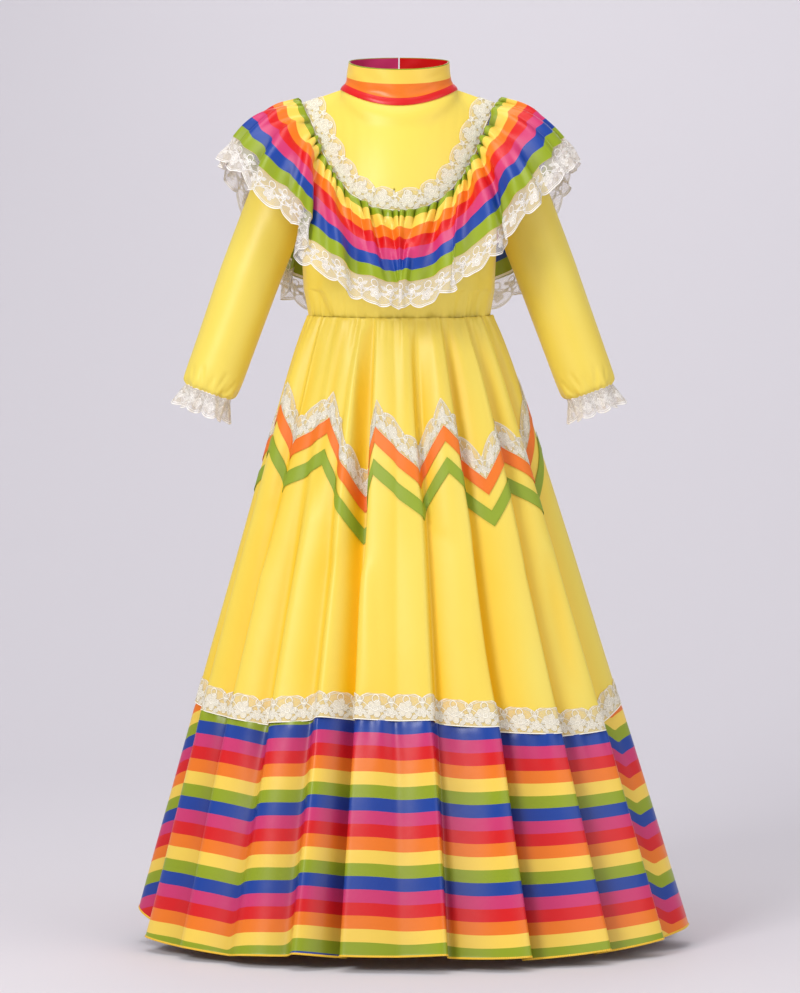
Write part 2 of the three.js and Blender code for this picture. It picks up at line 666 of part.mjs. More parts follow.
// How far the ruffle stands up before it falls: little at the centre front.
function crownAt(w) {
  const toSide = ease(clamp((Math.abs(Math.sin(w * DEG)) - 0.4) / 0.55));
  const isFront = Math.cos(w * DEG) > 0;
  return isFront ? lerp(RUFFLE.crownInFront, RUFFLE.crown, toSide) : RUFFLE.crown;
}

// Ruffle and its lace: share 0 is the gathered seam, 1 the striped edge, and what is past 1
// is the lace, which hangs steeper at the front and back than over the shoulders.
function rufflePoint(w, share) {
  const overShoulder = Math.abs(Math.sin(w * DEG)) ** 6;
  const seam = seamLifted(w, RUFFLE.lift);
  const edge = ruffleEdge(w);
  const outwards = new THREE.Vector3(edge.x - seam.x, edge.y - seam.y, 0).normalize();
  const middle = seam.clone().lerp(edge, 0.42).addScaledVector(outwards, RUFFLE.belly);
  middle.z += crownAt(w) + RUFFLE.crownOverShoulder * overShoulder;
  const cloth = Math.min(share, 1);
  const left = 1 - cloth;
  const point = new THREE.Vector3().addScaledVector(seam, left * left);
  point.addScaledVector(middle, 2 * left * cloth).addScaledVector(edge, cloth * cloth);
  if (share > 1) {
    const fall = edge.clone().sub(middle).normalize().multiplyScalar(lerp(0.7, 1, overShoulder));
    fall.z -= lerp(0.6, 0.02, overShoulder);
    point.addScaledVector(fall.normalize(), (share - 1) * RUFFLE.lace);
  }
  const free = clamp(share) ** 1.3;
  const past = (w - LAP.at) / LAP.width;
  const lap = LAP.out * (1 - ease(clamp((past + 1) / 2))) * ease(clamp((w + 88) / 22));
  const facing = new THREE.Vector3(outwards.x, outwards.y, 0.45).normalize();
  point.addScaledVector(facing, waveAt(w) * lerp(WAVES.seam, WAVES.edge, free) + lap * free);
  const slide = Math.exp(-((past + 0.9) ** 2)) - 0.5 * Math.exp(-((past - 1.1) ** 2));
  point.x += LAP.side * slide * free;
  return point;
}

const RUFFLE_PARTS = [
  { name: "front", from: -90, to: 90, columns: 60 },
  { name: "back_right", from: 90, to: 180, columns: 27 },
  { name: "back_left", from: 180, to: 270, columns: 27 },
];
const RUFFLE_INSET = 0.22;

// Turns of the seam whose edge turns are evenly spaced. Those past 180 stay past it.
function ruffleColumns(from, to, columns) {
  const turns = steps(from + RUFFLE_INSET, to - RUFFLE_INSET, columns);
  return turns.map((edge) => (edge > 180 ? seamTurn(edge) + TURN : seamTurn(edge)));
}

function rufflePanel({ from, to, columns }) {
  const turns = ruffleColumns(from, to, columns);
  const shape = { inner: -CLOTH / 2, outer: CLOTH / 2, du: 0.2, dv: 0.01 };
  return wall(rufflePoint, turns, [0, 0.22, 0.55, 0.995], shape);
}

// Ruffle lace, with a scalloped lower edge and a row of openings right through.
const LACE_END = 1.98;
const SCALLOPS = { count: 48, depth: 0.13 };
function ruffleLace({ from, to, columns }) {
  const turns = ruffleColumns(from, to, columns);
  const lowest = (w) => LACE_END - SCALLOPS.depth * (1 - Math.cos(edgeTurn(w) * DEG * SCALLOPS.count));
  const rows = [1.012, 1.3, 1.62, lowest];
  const hole = (i, j) => j === 1 && i % 2 === 1;
  return wall(rufflePoint, turns, rows, { inner: -TRIM / 2, outer: TRIM / 2, du: 0.2, dv: 0.01, hole });
}

function yokeLace() {
  const end = 178.6;
  const overBack = steps(90, end, 14);
  const toBack = steps(-end, -90, 14);
  const turns = [...toBack, ...steps(-90, 90, 28).slice(1), ...overBack.slice(1)];
  const offsets = { inner: 1.3, outer: 1.3 + TRIM, du: 1.2, dv: 1 };
  return wall(yokeLacePoint, turns, [2.5, YOKE_LACE / 2, YOKE_LACE], { ...offsets, flip: true });
}

// Finishes.
function satin(color) {
  return new THREE.MeshStandardMaterial({ color, roughness: 0.42, metalness: 0, side: THREE.DoubleSide });
}
const YELLOW = satin("#f4d33c");
const STRIPES = satin("#e8843c");
const ORANGE = satin("#f08a3c");
const GREEN = satin("#9dbb35");
const LACE = new THREE.MeshStandardMaterial({ color: "#f6ead8", roughness: 0.8, metalness: 0 });

const dress = new THREE.Group();
function add(name, geometry, material) {
  const mesh = new THREE.Mesh(geometry, material);
  mesh.name = name;
  dress.add(mesh);
}

add("collar", collarBand(), STRIPES);
add("bodice_front", bodicePanel(true, -1, 1, 24), YELLOW);
add("bodice_back_right", bodicePanel(false, 0, 1, 12), YELLOW);
add("bodice_back_left", bodicePanel(false, -1, 0, 12), YELLOW);
add("yoke_lace", yokeLace(), LACE);
for (const [name, side] of [["right", 1], ["left", -1]]) {
  add(`sleeve_${name}`, sleeveTube(side), YELLOW);
  add(`cuff_lace_${name}_front`, cuffLace(side, 0, 180), LACE);
  add(`cuff_lace_${name}_back`, cuffLace(side, 180, 360), LACE);
}
for (const part of RUFFLE_PARTS) {
  add(`ruffle_${part.name}`, rufflePanel(part), STRIPES);
  add(`ruffle_lace_${part.name}`, ruffleLace(part), LACE);
}
add("skirt_front", skirtPanel(-90, 90), YELLOW);
add("skirt_back_right", skirtPanel(90, 180), YELLOW);
add("skirt_back_left", skirtPanel(180, 270), YELLOW);
add("flounce_front", flouncePanel(-90, 90), STRIPES);
add("flounce_back", flouncePanel(90, 270), STRIPES);
const belowZigzag = (drop) => (u) => zigzagAt(u) + drop;
add("zigzag_lace", skirtBand(belowZigzag(-ZIGZAG_LACE), belowZigzag(-0.8)), LACE);
add("ribbon_orange", skirtBand(zigzagAt, belowZigzag(RIBBON_DROP)), ORANGE);
add("ribbon_green", skirtBand(belowZigzag(2 * RIBBON_DROP), belowZigzag(3 * RIBBON_DROP)), GREEN);
add("hem_lace", skirtBand((u) => flounceSeam(u) - HEM_LACE, (u) => flounceSeam(u) - 1), LACE);

export default dress;
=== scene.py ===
"""The looks of a girl's fiesta dress in yellow and rainbow-striped satin, dressed on its frame.

Surfaces are worked out in millimetres, as the garment's pattern is, and become metres when
a mesh is made. +Z is up, the front faces -Y, and "right" is the +X side.
"""
from __future__ import annotations

import logging
import math
from dataclasses import dataclass, field
from enum import Enum
from typing import Any, Sequence

import bpy
import numpy as np
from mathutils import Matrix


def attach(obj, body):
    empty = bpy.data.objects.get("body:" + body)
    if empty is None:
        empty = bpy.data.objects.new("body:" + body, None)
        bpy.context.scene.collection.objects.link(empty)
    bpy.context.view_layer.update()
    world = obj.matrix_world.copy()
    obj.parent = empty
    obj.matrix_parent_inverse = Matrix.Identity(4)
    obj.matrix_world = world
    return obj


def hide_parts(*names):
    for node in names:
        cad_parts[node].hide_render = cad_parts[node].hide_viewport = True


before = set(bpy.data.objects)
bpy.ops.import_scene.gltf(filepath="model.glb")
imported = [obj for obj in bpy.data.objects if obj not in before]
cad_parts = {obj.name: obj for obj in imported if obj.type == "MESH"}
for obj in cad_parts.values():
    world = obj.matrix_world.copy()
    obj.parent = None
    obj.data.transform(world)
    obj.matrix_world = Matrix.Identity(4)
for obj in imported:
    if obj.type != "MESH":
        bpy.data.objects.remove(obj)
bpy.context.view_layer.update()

log = logging.getLogger("fiesta_dress")

MM = 0.001
DEG = math.pi / 180
TURN = 360.0
FAR_FROM_HEM = 99.0
SOFT_EDGE = 70 * DEG
LEAST_AREA = 0.31
Array = np.ndarray
Colour = tuple[float, float, float]


def lerp(a: Any, b: Any, t: Any) -> Any:
    """The value a share t of the way from a to b."""
    return a + (b - a) * t


def clamp(t: Any) -> Any:
    """The value kept between 0 and 1."""
    return np.clip(t, 0.0, 1.0)


def ease(t: Any) -> Any:
    """A share from 0 to 1 that starts and ends softly."""
    return t * t * (3 - 2 * t)


def rise(value: Any, low: float, high: float) -> Any:
    """0 below low and 1 above high, with a soft change between."""
    return ease(clamp((value - low) / (high - low)))


def bell(x: Any, width: float = 1.0) -> Any:
    """1 where x is 0, and near 0 from about twice the width away on either side."""
    return np.exp(-((x / width) ** 2))


def sway(a: Any, count: float, *bends: tuple[float, ...]) -> Any:
    """A sine wave that slower waves draw out in places and press together in others.

    Args:
        a: the angle, in radians.
        count: how many waves there are in a full turn.
        bends: the size, the count and, if not 0, the start of each slower wave.

    Returns:
        The height of the wave, from -1 to 1.
    """
    phase = a * count
    for size, slow, *start in bends:
        phase = phase + size * np.sin(a * slow + sum(start))
    return np.sin(phase)


def vec(x: Any, y: Any, z: Any) -> Array:
    """Points from their three coordinates."""
    return np.stack(np.broadcast_arrays(x, y, z), -1).astype(float)


def unit(vectors: Array) -> Array:
    """Vectors of length one."""
    return vectors / np.maximum(np.linalg.norm(vectors, axis=-1, keepdims=True), 1e-9)


def spaced(a: float, b: float, count: int) -> Array:
    """Evenly spaced numbers from a to b, both ends included."""
    return np.linspace(a, b, count + 1)


class Run(Enum):
    """How a profile goes from one of its rows to the next."""

    SOFT = "soft"
    STRAIGHT = "straight"
    ROUND = "round"


@dataclass(frozen=True)
class Profile:
    """A curve through rows of a key and a value."""

    rows: tuple[tuple[float, float], ...]
    run: Run = Run.SOFT

    def at(self, key: Any) -> Array:
        """The curve's value.

        Args:
            key: where on the curve.

        Returns:
            The value there, or the end row's value past an end.
        """
        keys, values = np.array(self.rows, float).T
        key = np.asarray(key, float)
        i = np.clip(np.searchsorted(keys, key), 1, len(keys) - 1)
        span = keys[i] - keys[i - 1]
        t = clamp((key - keys[i - 1]) / span)
        if self.run is Run.STRAIGHT:
            return lerp(values[i - 1], values[i], t)
        if self.run is Run.SOFT:
            return lerp(values[i - 1], values[i], ease(t))
        slope = np.gradient(values, keys)
        bend = t * (t - 1)
        return lerp(values[i - 1], values[i], ease(t)) + span * bend * (
            (t - 1) * slope[i - 1] + t * slope[i]
        )


@dataclass(frozen=True)
class Ripples:
    """Soft uneven waves over a surface, made of a few crossed sine waves."""

    seed: int
    across: float
    down: float
    waves: int = 7

    def at(self, a: Any, b: Any) -> Array:
        """The height of the waves, mostly from -1 to 1.

        Args:
            a: the place across the cloth.
            b: the place down the cloth.

        Returns:
            The height at each place.
        """
        chance = np.random.default_rng(self.seed)
        total = 0.0
        for _ in range(self.waves):
            by_a = self.across * chance.uniform(0.6, 1.5)
            by_b = self.down * chance.uniform(-1.2, 1.2)
            total = total + np.sin(a * by_a + b * by_b + chance.uniform(0, 2 * math.pi))
        return total / (0.55 * self.waves)


@dataclass(frozen=True)
class Crease:
    """A soft trough, or a ridge if its depth is positive, between two places on the cloth."""

    start: tuple[float, float]
    end: tuple[float, float]
    width: float
    depth: float

    def at(self, a: Any, b: Any) -> Array:
        """How far the crease moves the cloth out.

        Args:
            a: the place across the cloth.
            b: the place down the cloth.

        Returns:
            The move at each place, in millimetres.
        """
        da, db = self.end[0] - self.start[0], self.end[1] - self.start[1]
        share = clamp(((a - self.start[0]) * da + (b - self.start[1]) * db) / (da * da + db * db))
        gap = np.hypot(a - self.start[0] - share * da, b - self.start[1] - share * db)
        return self.depth * bell(gap, self.width) * (4 * share * (1 - share)) ** 0.7


def crease_rows(*rows: tuple[float, ...]) -> tuple[Crease, ...]:
    """Creases from rows of a start, an end, a width and a depth."""
    return tuple(Crease(row[:2], row[2:4], row[4], row[5]) for row in rows)


def creased(creases: Sequence[Crease], a: Any, b: Any) -> Array:
    """The sum of several creases at places a and b."""
    return sum(crease.at(a, b) for crease in creases)


class Held(Enum):
    """How a sheet of cloth is held."""

    HUNG = "hung"
    GATHERED = "gathered"
    LAID = "laid"
    STRETCHED = "stretched"


class Slot(Enum):
    """The record's material slots."""

    YELLOW = "satin_yellow"
    STRIPED = "satin_striped"
    ORANGE = "ribbon_orange"
    GREEN = "ribbon_green"
    LACE = "lace"


# Finishes.


def operator(operation: str, turned: bool = False) -> Any:
    """A method of a wire that adds one Math node; turned, the other value comes first."""

    def method(self: "Wire", *others: Any) -> "Wire":
        """The result of the node."""
        values = (self, *others)
        return self.board.sum(operation, *(values[::-1] if turned else values))

    return method


class Wire:
    """A node's output that takes part in sums as a number does."""

    __add__ = __radd__ = operator("ADD")
    __sub__ = operator("SUBTRACT")
    __rsub__ = operator("SUBTRACT", turned=True)
    __mul__ = __rmul__ = operator("MULTIPLY")
    __truediv__ = operator("DIVIDE")
    __pow__ = operator("POWER")
    __abs__ = operator("ABSOLUTE")
    sine = operator("SINE")
    cosine = operator("COSINE")
    root = operator("SQRT")
    fraction = operator("FRACT")
    or_more = operator("MAXIMUM")
    or_less = operator("MINIMUM")

    def __init__(self, board: "Board", socket: bpy.types.NodeSocket) -> None:
        """Wraps the socket of a node on that board."""
        self.board = board
        self.socket = socket

    def ramp(self, low: float, high: float) -> "Wire":
        """0 at low and 1 at high, with a soft change between."""
        settings = {"interpolation_type": "SMOOTHSTEP", "clamp": True}
        inputs = {"Value": self, "From Min": low, "From Max": high}
        return self.board.wire("Result", "ShaderNodeMapRange", settings, inputs)


class Board:
    """The nodes of one material."""

    UV_MAP = "cloth"

    def __init__(self, name: str) -> None:
        """Starts an empty material of that name."""
        self.material = bpy.data.materials.new(name)
        self.material.use_nodes = True
        self.tree = self.material.node_tree
        self.tree.nodes.clear()

    def node(self, kind: str, settings: dict[str, Any], inputs: dict[Any, Any]) -> bpy.types.Node:
        """Adds a node.

        Args:
            kind: the node's type.
            settings: its own settings; "stops" are a ramp's places and colours, and
                "stop_change" is how the ramp goes from one to the next.
            inputs: the values or wires of its sockets.

        Returns:
            The new node.
        """
        made = self.tree.nodes.new(kind)
        for key, value in settings.items():
            if key == "stops":
                self._set_stops(made.color_ramp, value)
            elif key == "stop_change":
                made.color_ramp.interpolation = value
            else:
                setattr(made, key, value)
        for key, value in inputs.items():
            if isinstance(value, Wire):
                self.tree.links.new(value.socket, made.inputs[key])
            else:
                made.inputs[key].default_value = value
        return made

    @staticmethod
    def _set_stops(ramp: bpy.types.ColorRamp, stops: Sequence[tuple[float, Colour]]) -> None:
        """Gives a ramp its stops."""
        while len(ramp.elements) > 1:
            ramp.elements.remove(ramp.elements[-1])
        for i, (place, colour) in enumerate(stops):
            element = ramp.elements[0] if i == 0 else ramp.elements.new(place)
            element.position = place
            element.color = (*colour, 1.0)

    def wire(
        self,
        output: Any,
        kind: str,
        settings: dict[str, Any] | None = None,
        inputs: dict[Any, Any] | None = None,
    ) -> Wire:
        """One output of a new node."""
        return Wire(self, self.node(kind, settings or {}, inputs or {}).outputs[output])

    def sum(self, operation: str, *values: Any) -> Wire:
        """A Math node with that operation on the values."""
        return self.wire(0, "ShaderNodeMath", {"operation": operation}, dict(enumerate(values)))

    def mix(self, share: Any, a: Any, b: Any) -> Wire:
        """A colour a share of the way from a to b."""
        colours = [value if isinstance(value, Wire) else (*value, 1.0) for value in (a, b)]
        inputs = {0: share, 6: colours[0], 7: colours[1]}
        return self.wire(2, "ShaderNodeMix", {"data_type": "RGBA", "clamp_factor": True}, inputs)

    def cloth(self) -> tuple[Wire, Wire]:
        """The places across and down the flat cloth, in millimetres."""
        uv = self.wire(0, "ShaderNodeUVMap", {"uv_map": self.UV_MAP})
        split = self.node("ShaderNodeSeparateXYZ", {}, {0: uv})
        return Wire(self, split.outputs[0]) / MM, Wire(self, split.outputs[1]) / MM

    def mark(self, name: str) -> Wire:
        """A number that the mesh carries at its points."""
        return self.wire("Fac", "ShaderNodeAttribute", {"attribute_name": name})

    def noise(self, scale: float, detail: float = 2.0, at: Wire | None = None) -> Wire:
        """Noise from 0 to 1 over the object's own coordinates, or at a given place."""
        if at is None:
            at = self.wire("Object", "ShaderNodeTexCoord")
        inputs = {"Vector": at, "Scale": scale, "Detail": detail}
        return self.wire(0, "ShaderNodeTexNoise", {}, inputs)

    def streaks(self, across: Wire, down: Wire, fine: float, long: float) -> Wire:
        """Noise drawn out along the threads, as floats of satin are."""
        place = self.wire(0, "ShaderNodeCombineXYZ", {}, {0: across * fine, 1: down * long})
        return self.noise(1.0, 2.0, place)

    def bump(self, height: Wire) -> Wire:
        """A normal from a relief in millimetres."""
        inputs = {"Strength": 1.0, "Distance": 1.0, "Height": height * MM}
        return self.wire(0, "ShaderNodeBump", {}, inputs)

    def seen_from_behind(self) -> Wire:
        """1 where the camera looks at the back of a face, and 0 elsewhere."""
        back = self.wire("Backfacing", "ShaderNodeNewGeometry")
        return back * self.wire("Is Camera Ray", "ShaderNodeLightPath")

    def finish(self, inputs: dict[str, Any]) -> bpy.types.Material:
        """Closes the material with one surface shader that has these inputs."""
        shader = self.wire(0, "ShaderNodeBsdfPrincipled", {}, inputs)
        self.node("ShaderNodeOutputMaterial", {}, {"Surface": shader})
        return self.material


class StripeColour(Enum):
    """The six stripes of the rainbow satin, in their order down the flounce."""

    BLUE = (0.003, 0.050, 0.330)
    PINK = (0.640, 0.036, 0.160)
    RED = (0.720, 0.005, 0.006)
    ORANGE = (0.900, 0.200, 0.008)
    YELLOW = (0.950, 0.660, 0.090)
    GREEN = (0.290, 0.380, 0.008)


@dataclass(frozen=True)
class Satin:
    """Plain polyester satin."""

    name: str
    colour: Colour
    # deep: the dye's darker tone, and also the painted shade that the "fold" mark mixes in.
    deep: Colour
    roughness: float = 0.44
    shine: float = 0.9
    float_depth: float = 0.035
    crinkle_depth: float = 0.32

    def base(self, board: Board) -> Wire:
        """The cloth's colour, a little uneven from the dye, with painted shade deeper down in its
        folds.
        """
        dye = board.noise(6.0, 2.0).ramp(0.3, 0.75) * 0.25
        # Painted shade: the "fold" mark mixes the colour towards deep in the folds.
        return board.mix(dye + board.mark("fold") * 0.85, self.colour, self.deep)

    def relief(self, board: Board, across: Wire, down: Wire) -> Wire:
        """The floats of the weave and the soft crinkles of the cloth."""
        floats = board.streaks(across, down, 2.2, 0.16) * self.float_depth
        return floats + board.noise(34.0, 3.0) * self.crinkle_depth

    def material(self) -> bpy.types.Material:
        """The finish as a material."""
        board = Board(self.name)
        across, down = board.cloth()
        return board.finish(
            {
                "Base Color": self.base(board),
                "Roughness": board.streaks(across, down, 1.4, 0.08) * 0.12 + (self.roughness - 0.06),
                "Normal": board.bump(self.relief(board, across, down)),
                "Specular IOR Level": self.shine,
            }
        )


@dataclass(frozen=True)
class StripedSatin(Satin):
    """Satin with straight printed stripes, and on the flounce an overlocked hem."""

    thread: Colour = (0.90, 0.55, 0.03)
    # How much painted shade darkens the stripes down in the folds.
    painted_fold_shade: float = 0.36
    overlock_width: float = 2.6
    overlock_pitch: float = 2.4
    overlock_slant: float = 1.2
    overlock_depth: float = 0.22

    def stripes(self, board: Board) -> Wire:
        """The stripe colours, in turn."""
        count = len(StripeColour)
        stops = [(i / count, tuple(stripe.value)) for i, stripe in enumerate(StripeColour)]
        place = (board.mark("stripe") / float(count)).fraction()
        settings = {"stops": stops, "stop_change": "CONSTANT"}
        return board.wire(0, "ShaderNodeValToRGB", settings, {0: place})

    def base(self, board: Board) -> Wire:
        """The stripes, with painted shade deeper down in the folds, and the thread of the hem."""
        print_depth = board.noise(9.0, 3.0).ramp(0.3, 0.8) * 0.05
        # Painted shade: the stripes darken towards deep on the "fold" mark.
        shaded = print_depth + board.mark("fold") * self.painted_fold_shade
        printed = board.mix(shaded, self.stripes(board), self.deep)
        return board.mix(self.over_hem(board), printed, self.thread)

    def over_hem(self, board: Board) -> Wire:
        """1 on the overlocked edge of the hem and 0 elsewhere."""
        return 1.0 - board.mark("hem").ramp(self.overlock_width - 0.3, self.overlock_width)

    def relief(self, board: Board, across: Wire, down: Wire) -> Wire:
        """The satin's relief and the slanted threads of the hem."""
        slanted = across * (2 * math.pi / self.overlock_pitch) + down * self.overlock_slant
        threads = slanted.sine() * self.overlock_depth
        return super().relief(board, across, down) + self.over_hem(board) * threads


@dataclass(frozen=True)
class Ribbon(Satin):
    """Narrow satin ribbon, sewn down along both its edges."""

    width: float = 19.0
    rib: float = 1.1
    rib_depth: float = 0.02
    edge: float = 1.3
    stitch: float = 3.0
    stitch_depth: float = 0.25

    def relief(self, board: Board, across: Wire, down: Wire) -> Wire:
        """Fine cross ribs, and the stitched edges a little lower."""
        ribs = (across * (2 * math.pi / self.rib)).sine() * self.rib_depth
        from_edge = down.or_less(self.width - down)
        stitches = (across * (2 * math.pi / self.stitch)).sine().ramp(0.0, 0.7)
        near = 1.0 - abs(from_edge - self.edge).ramp(0.2, 0.5)
        return super().relief(board, across, down) + ribs - near * stitches * self.stitch_depth


@dataclass(frozen=True)
class LaceMotif:
    """The repeat of a floral lace, in millimetres. Places are measured from its straight edge."""

    height: float
    repeat: float
    scallop: float
    flower: float
    flower_at: float
    bud: float
    bud_at: float
    leaf: float
    scroll: float
    scroll_at: float
    net: float
    net_cover: float
    fill: float
    net_white: float = 0.8
    cord: float = 1.0


@dataclass(frozen=True)
class Lace:
    """Cream floral lace with a straight sewn edge and a scalloped free one."""

    name: str
    motif: LaceMotif
    colour: Colour = (0.99, 0.95, 0.89)
    # shade: painted shade on the lower parts of the relief, the net most of all.
    shade: Colour = (0.97, 0.90, 0.80)

    @staticmethod
    def flower(board: Board, x: Wire, y: Wire, radius: float, petals: int) -> tuple[Wire, Wire]:
        """A flower with outlined petals.

        Args:
            board: the material's nodes.
            x: the place across, from the flower's centre.
            y: the place down, from the flower's centre.
            radius: the reach of its petals.
            petals: how many petals it has.

        Returns:
            Its petals and its outlines, from 0 to 1.
        """
        far = (x * x + y * y).root()
        turn = board.sum("ARCTAN2", y, x)
        lobe = abs((turn * (petals / 2)).cosine())
        reach = (lobe**0.6 * 0.42 + 0.58) * radius
        inside = (reach - far).ramp(-0.1, 0.1)
        outline = inside * (1.0 - (reach - far).ramp(0.75, 1.05))
        between = inside * (1.0 - (lobe * far).ramp(0.35, 0.7)) * far.ramp(radius * 0.3, radius * 0.36)
        eye = 1.0 - abs(far - radius * 0.24).ramp(0.35, 0.65)
        return inside, outline.or_more(eye).or_more(between)

    @staticmethod
    def leaf(x: Wire, y: Wire, start: float, length: float, angle: float) -> tuple[Wire, Wire]:
        """A pointed leaf and its outline.

        Args:
            x: the place across, from the stem's centre.
            y: the place down, from the stem's centre.
            start: how far from the centre the leaf begins.
            length: its length.
            angle: its direction in degrees.

        Returns:
            The leaf and its outline with the vein, from 0 to 1.
        """
        c, s = math.cos(angle * DEG), math.sin(angle * DEG)
        along = (x * c + y * s - (start + length / 2)) / (length / 2)
        beside = abs(y * c - x * s)
        room = (1.0 - along * along) * (length * 0.25) - beside
        inside = room.ramp(-0.1, 0.1)
        outline = inside * (1.0 - room.ramp(0.45, 0.75))
        return inside, outline.or_more(inside * (1.0 - beside.ramp(0.12, 0.32)))

    def pattern(self, board: Board) -> tuple[Wire, Wire]:
        """The cover of the lace, from 0 to 1, and its relief in millimetres."""
        m = self.motif
        across, down = board.cloth()
        x = ((across / m.repeat).fraction() - 0.5) * m.repeat
        half = ((across / m.repeat + 0.5).fraction() - 0.5) * m.repeat
        arch = abs((across * (math.pi / m.repeat)).sine()) ** 0.7
        rim = (arch - 1.0) * m.scallop + (m.height - down)
        at_flower, at_bud = down - m.flower_at, down - m.bud_at
        parts = [
            self.flower(board, x, at_flower, m.flower, 5),
            self.flower(board, half, at_bud, m.bud, 5),
        ]
        for angle in (25, 155, 210, 330, 90):
            parts.append(self.leaf(half, at_bud, m.bud * 0.9, m.leaf, angle))
        for angle in (200, 340):
            parts.append(self.leaf(x, at_flower, m.flower * 0.9, m.leaf * 0.8, angle))
        fill, lines = parts[0]
        for inside, outline in parts[1:]:
            fill, lines = fill.or_more(inside), lines.or_more(outline)
        scroll_y = down - m.scroll_at
        for centre in (x, half):
            ring = (centre * centre + scroll_y * scroll_y).root()
            lines = lines.or_more(1.0 - abs(ring - m.scroll).ramp(0.35, 0.65))
        sway = (across * (2 * math.pi / m.repeat)).cosine() * (m.repeat * 0.13)
        lines = lines.or_more(1.0 - abs(down - m.height * 0.5 - sway).ramp(0.35, 0.65))
        cords = (1.0 - abs(rim - 0.9).ramp(0.6, 0.9)).or_more(1.0 - abs(rim - 3.2).ramp(0.3, 0.55))
        lines = lines.or_more(cords * m.cord).or_more(1.0 - down.ramp(1.2, 1.5))
        warp = abs(((across + down * 0.6) * (math.pi / m.net)).sine())
        weft = abs(((across - down * 0.6) * (math.pi / m.net)).sine())
        thread = 1.0 - warp.or_less(weft).ramp(m.net_cover, m.net_cover + 0.2)
        weave = abs((across * (math.pi / 0.7)).sine()) * abs((down * (math.pi / 0.7)).sine())
        cover = lines.or_more(fill * (m.fill + 0.25 - weave * 0.5)).or_more(thread * m.net_white)
        relief = fill * 0.16 + lines * 0.34 + thread * 0.05
        return cover * rim.ramp(-0.05, 0.15), relief + board.noise(700.0, 2.0) * 0.08

    def material(self) -> bpy.types.Material:
        """The finish as a material."""
        board = Board(self.name)
        cover, relief = self.pattern(board)
        return board.finish(
            {
                # Painted shade: the lower parts of the relief take the shade colour.
                "Base Color": board.mix(relief.ramp(0.0, 0.3), self.shade, self.colour),
                "Roughness": board.noise(500.0, 2.0) * 0.2 + 0.65,
                "Normal": board.bump(relief),
                "Alpha": cover,
                "Specular IOR Level": 0.25,
                "Sheen Weight": 0.15,
                "Sheen Roughness": 0.5,
            }
        )


# Cloth pieces.


def grid_normals(points: Array) -> Array:
    """Outward normals of a grid of points, from its two directions."""
    along = np.gradient(points, axis=0)
    down = np.gradient(points, axis=1)
    return unit(np.cross(down, along))


def run_along(points: Array, axis: int) -> Array:
    """How far each point lies along its row or column, in millimetres."""
    gaps = np.linalg.norm(np.diff(points, axis=axis), axis=-1)
    start = np.zeros_like(np.take(gaps, [0], axis=axis))
    return np.concatenate([start, np.cumsum(gaps, axis=axis)], axis=axis)


@dataclass
class Cloth:
    """One piece of cloth as a grid of points, columns by rows, with its places when flat."""

    points: Array
    across: Array | None = None
    down: Array | None = None
    marks: dict[str, Array] = field(default_factory=dict)

    def __post_init__(self) -> None:
        """Fills in the flat places that weren't given."""
        middle = self.points.shape[1] // 2
        if self.across is None:
            self.across = run_along(self.points, 0)[:, middle]
        if self.down is None:
            self.down = run_along(self.points, 1)
        shape = self.points.shape[:2]
        if self.across.ndim == 1:
            self.across = np.broadcast_to(self.across[:, None], shape)
        self.down = np.broadcast_to(self.down, shape)

    def lifted(self, height: Any, flip: bool = False) -> "Cloth":
        """The same cloth moved along its normals, in millimetres."""
        normals = grid_normals(self.points) * (-1 if flip else 1)
        self.points = self.points + normals * np.asarray(height)[..., None]
        return self

    def flat(self) -> tuple[float, float, float]:
        """The width, length and area that it was cut to, in metres and square metres."""
        width = run_along(self.points, 0)[-1].max() * MM
        length = run_along(self.points, 1)[:, -1].max() * MM
        p = self.points
        crossed = np.cross(p[1:, 1:] - p[:-1, :-1], p[1:, :-1] - p[:-1, 1:])
        area = float(np.linalg.norm(crossed, axis=-1).sum()) / 2 * MM * MM
        return float(width), float(length), min(max(area, LEAST_AREA * width * length), width * length)

    def mesh(self, name: str, flip: bool) -> bpy.types.Mesh:
        """The cloth as a mesh of one layer, with its UV map and marks.

        Args:
            name: the mesh's name.
            flip: whether the faces are turned round.

        Returns:
            The mesh, in metres.
        """
        columns, rows = self.points.shape[:2]
        index = np.arange(columns * rows).reshape(columns, rows)
        quads = np.stack([index[:-1, :-1], index[:-1, 1:], index[1:, 1:], index[1:, :-1]], -1)
        quads = quads.reshape(-1, 4)
        if flip:
            quads = quads[:, ::-1]
        mesh = bpy.data.meshes.new(name)
        mesh.from_pydata((self.points.reshape(-1, 3) * MM).tolist(), [], quads.tolist())
        places = np.stack([self.across.ravel(), self.down.ravel()], -1) * MM
        layer = mesh.uv_layers.new(name=Board.UV_MAP)
        layer.data.foreach_set("uv", places[quads.ravel()].astype(np.float32).ravel())
        for mark, values in self.marks.items():
            attribute = mesh.attributes.new(mark, "FLOAT", "POINT")
            spread = np.broadcast_to(values, self.points.shape[:2])
            attribute.data.foreach_set("value", spread.astype(np.float32).ravel())
        mesh.update()
        return mesh


def select_only(piece: bpy.types.Object) -> None:
    """Makes one object the only one that operators act on."""
    bpy.ops.object.select_all(action="DESELECT")
    piece.select_set(True)
    bpy.context.view_layer.objects.active = piece


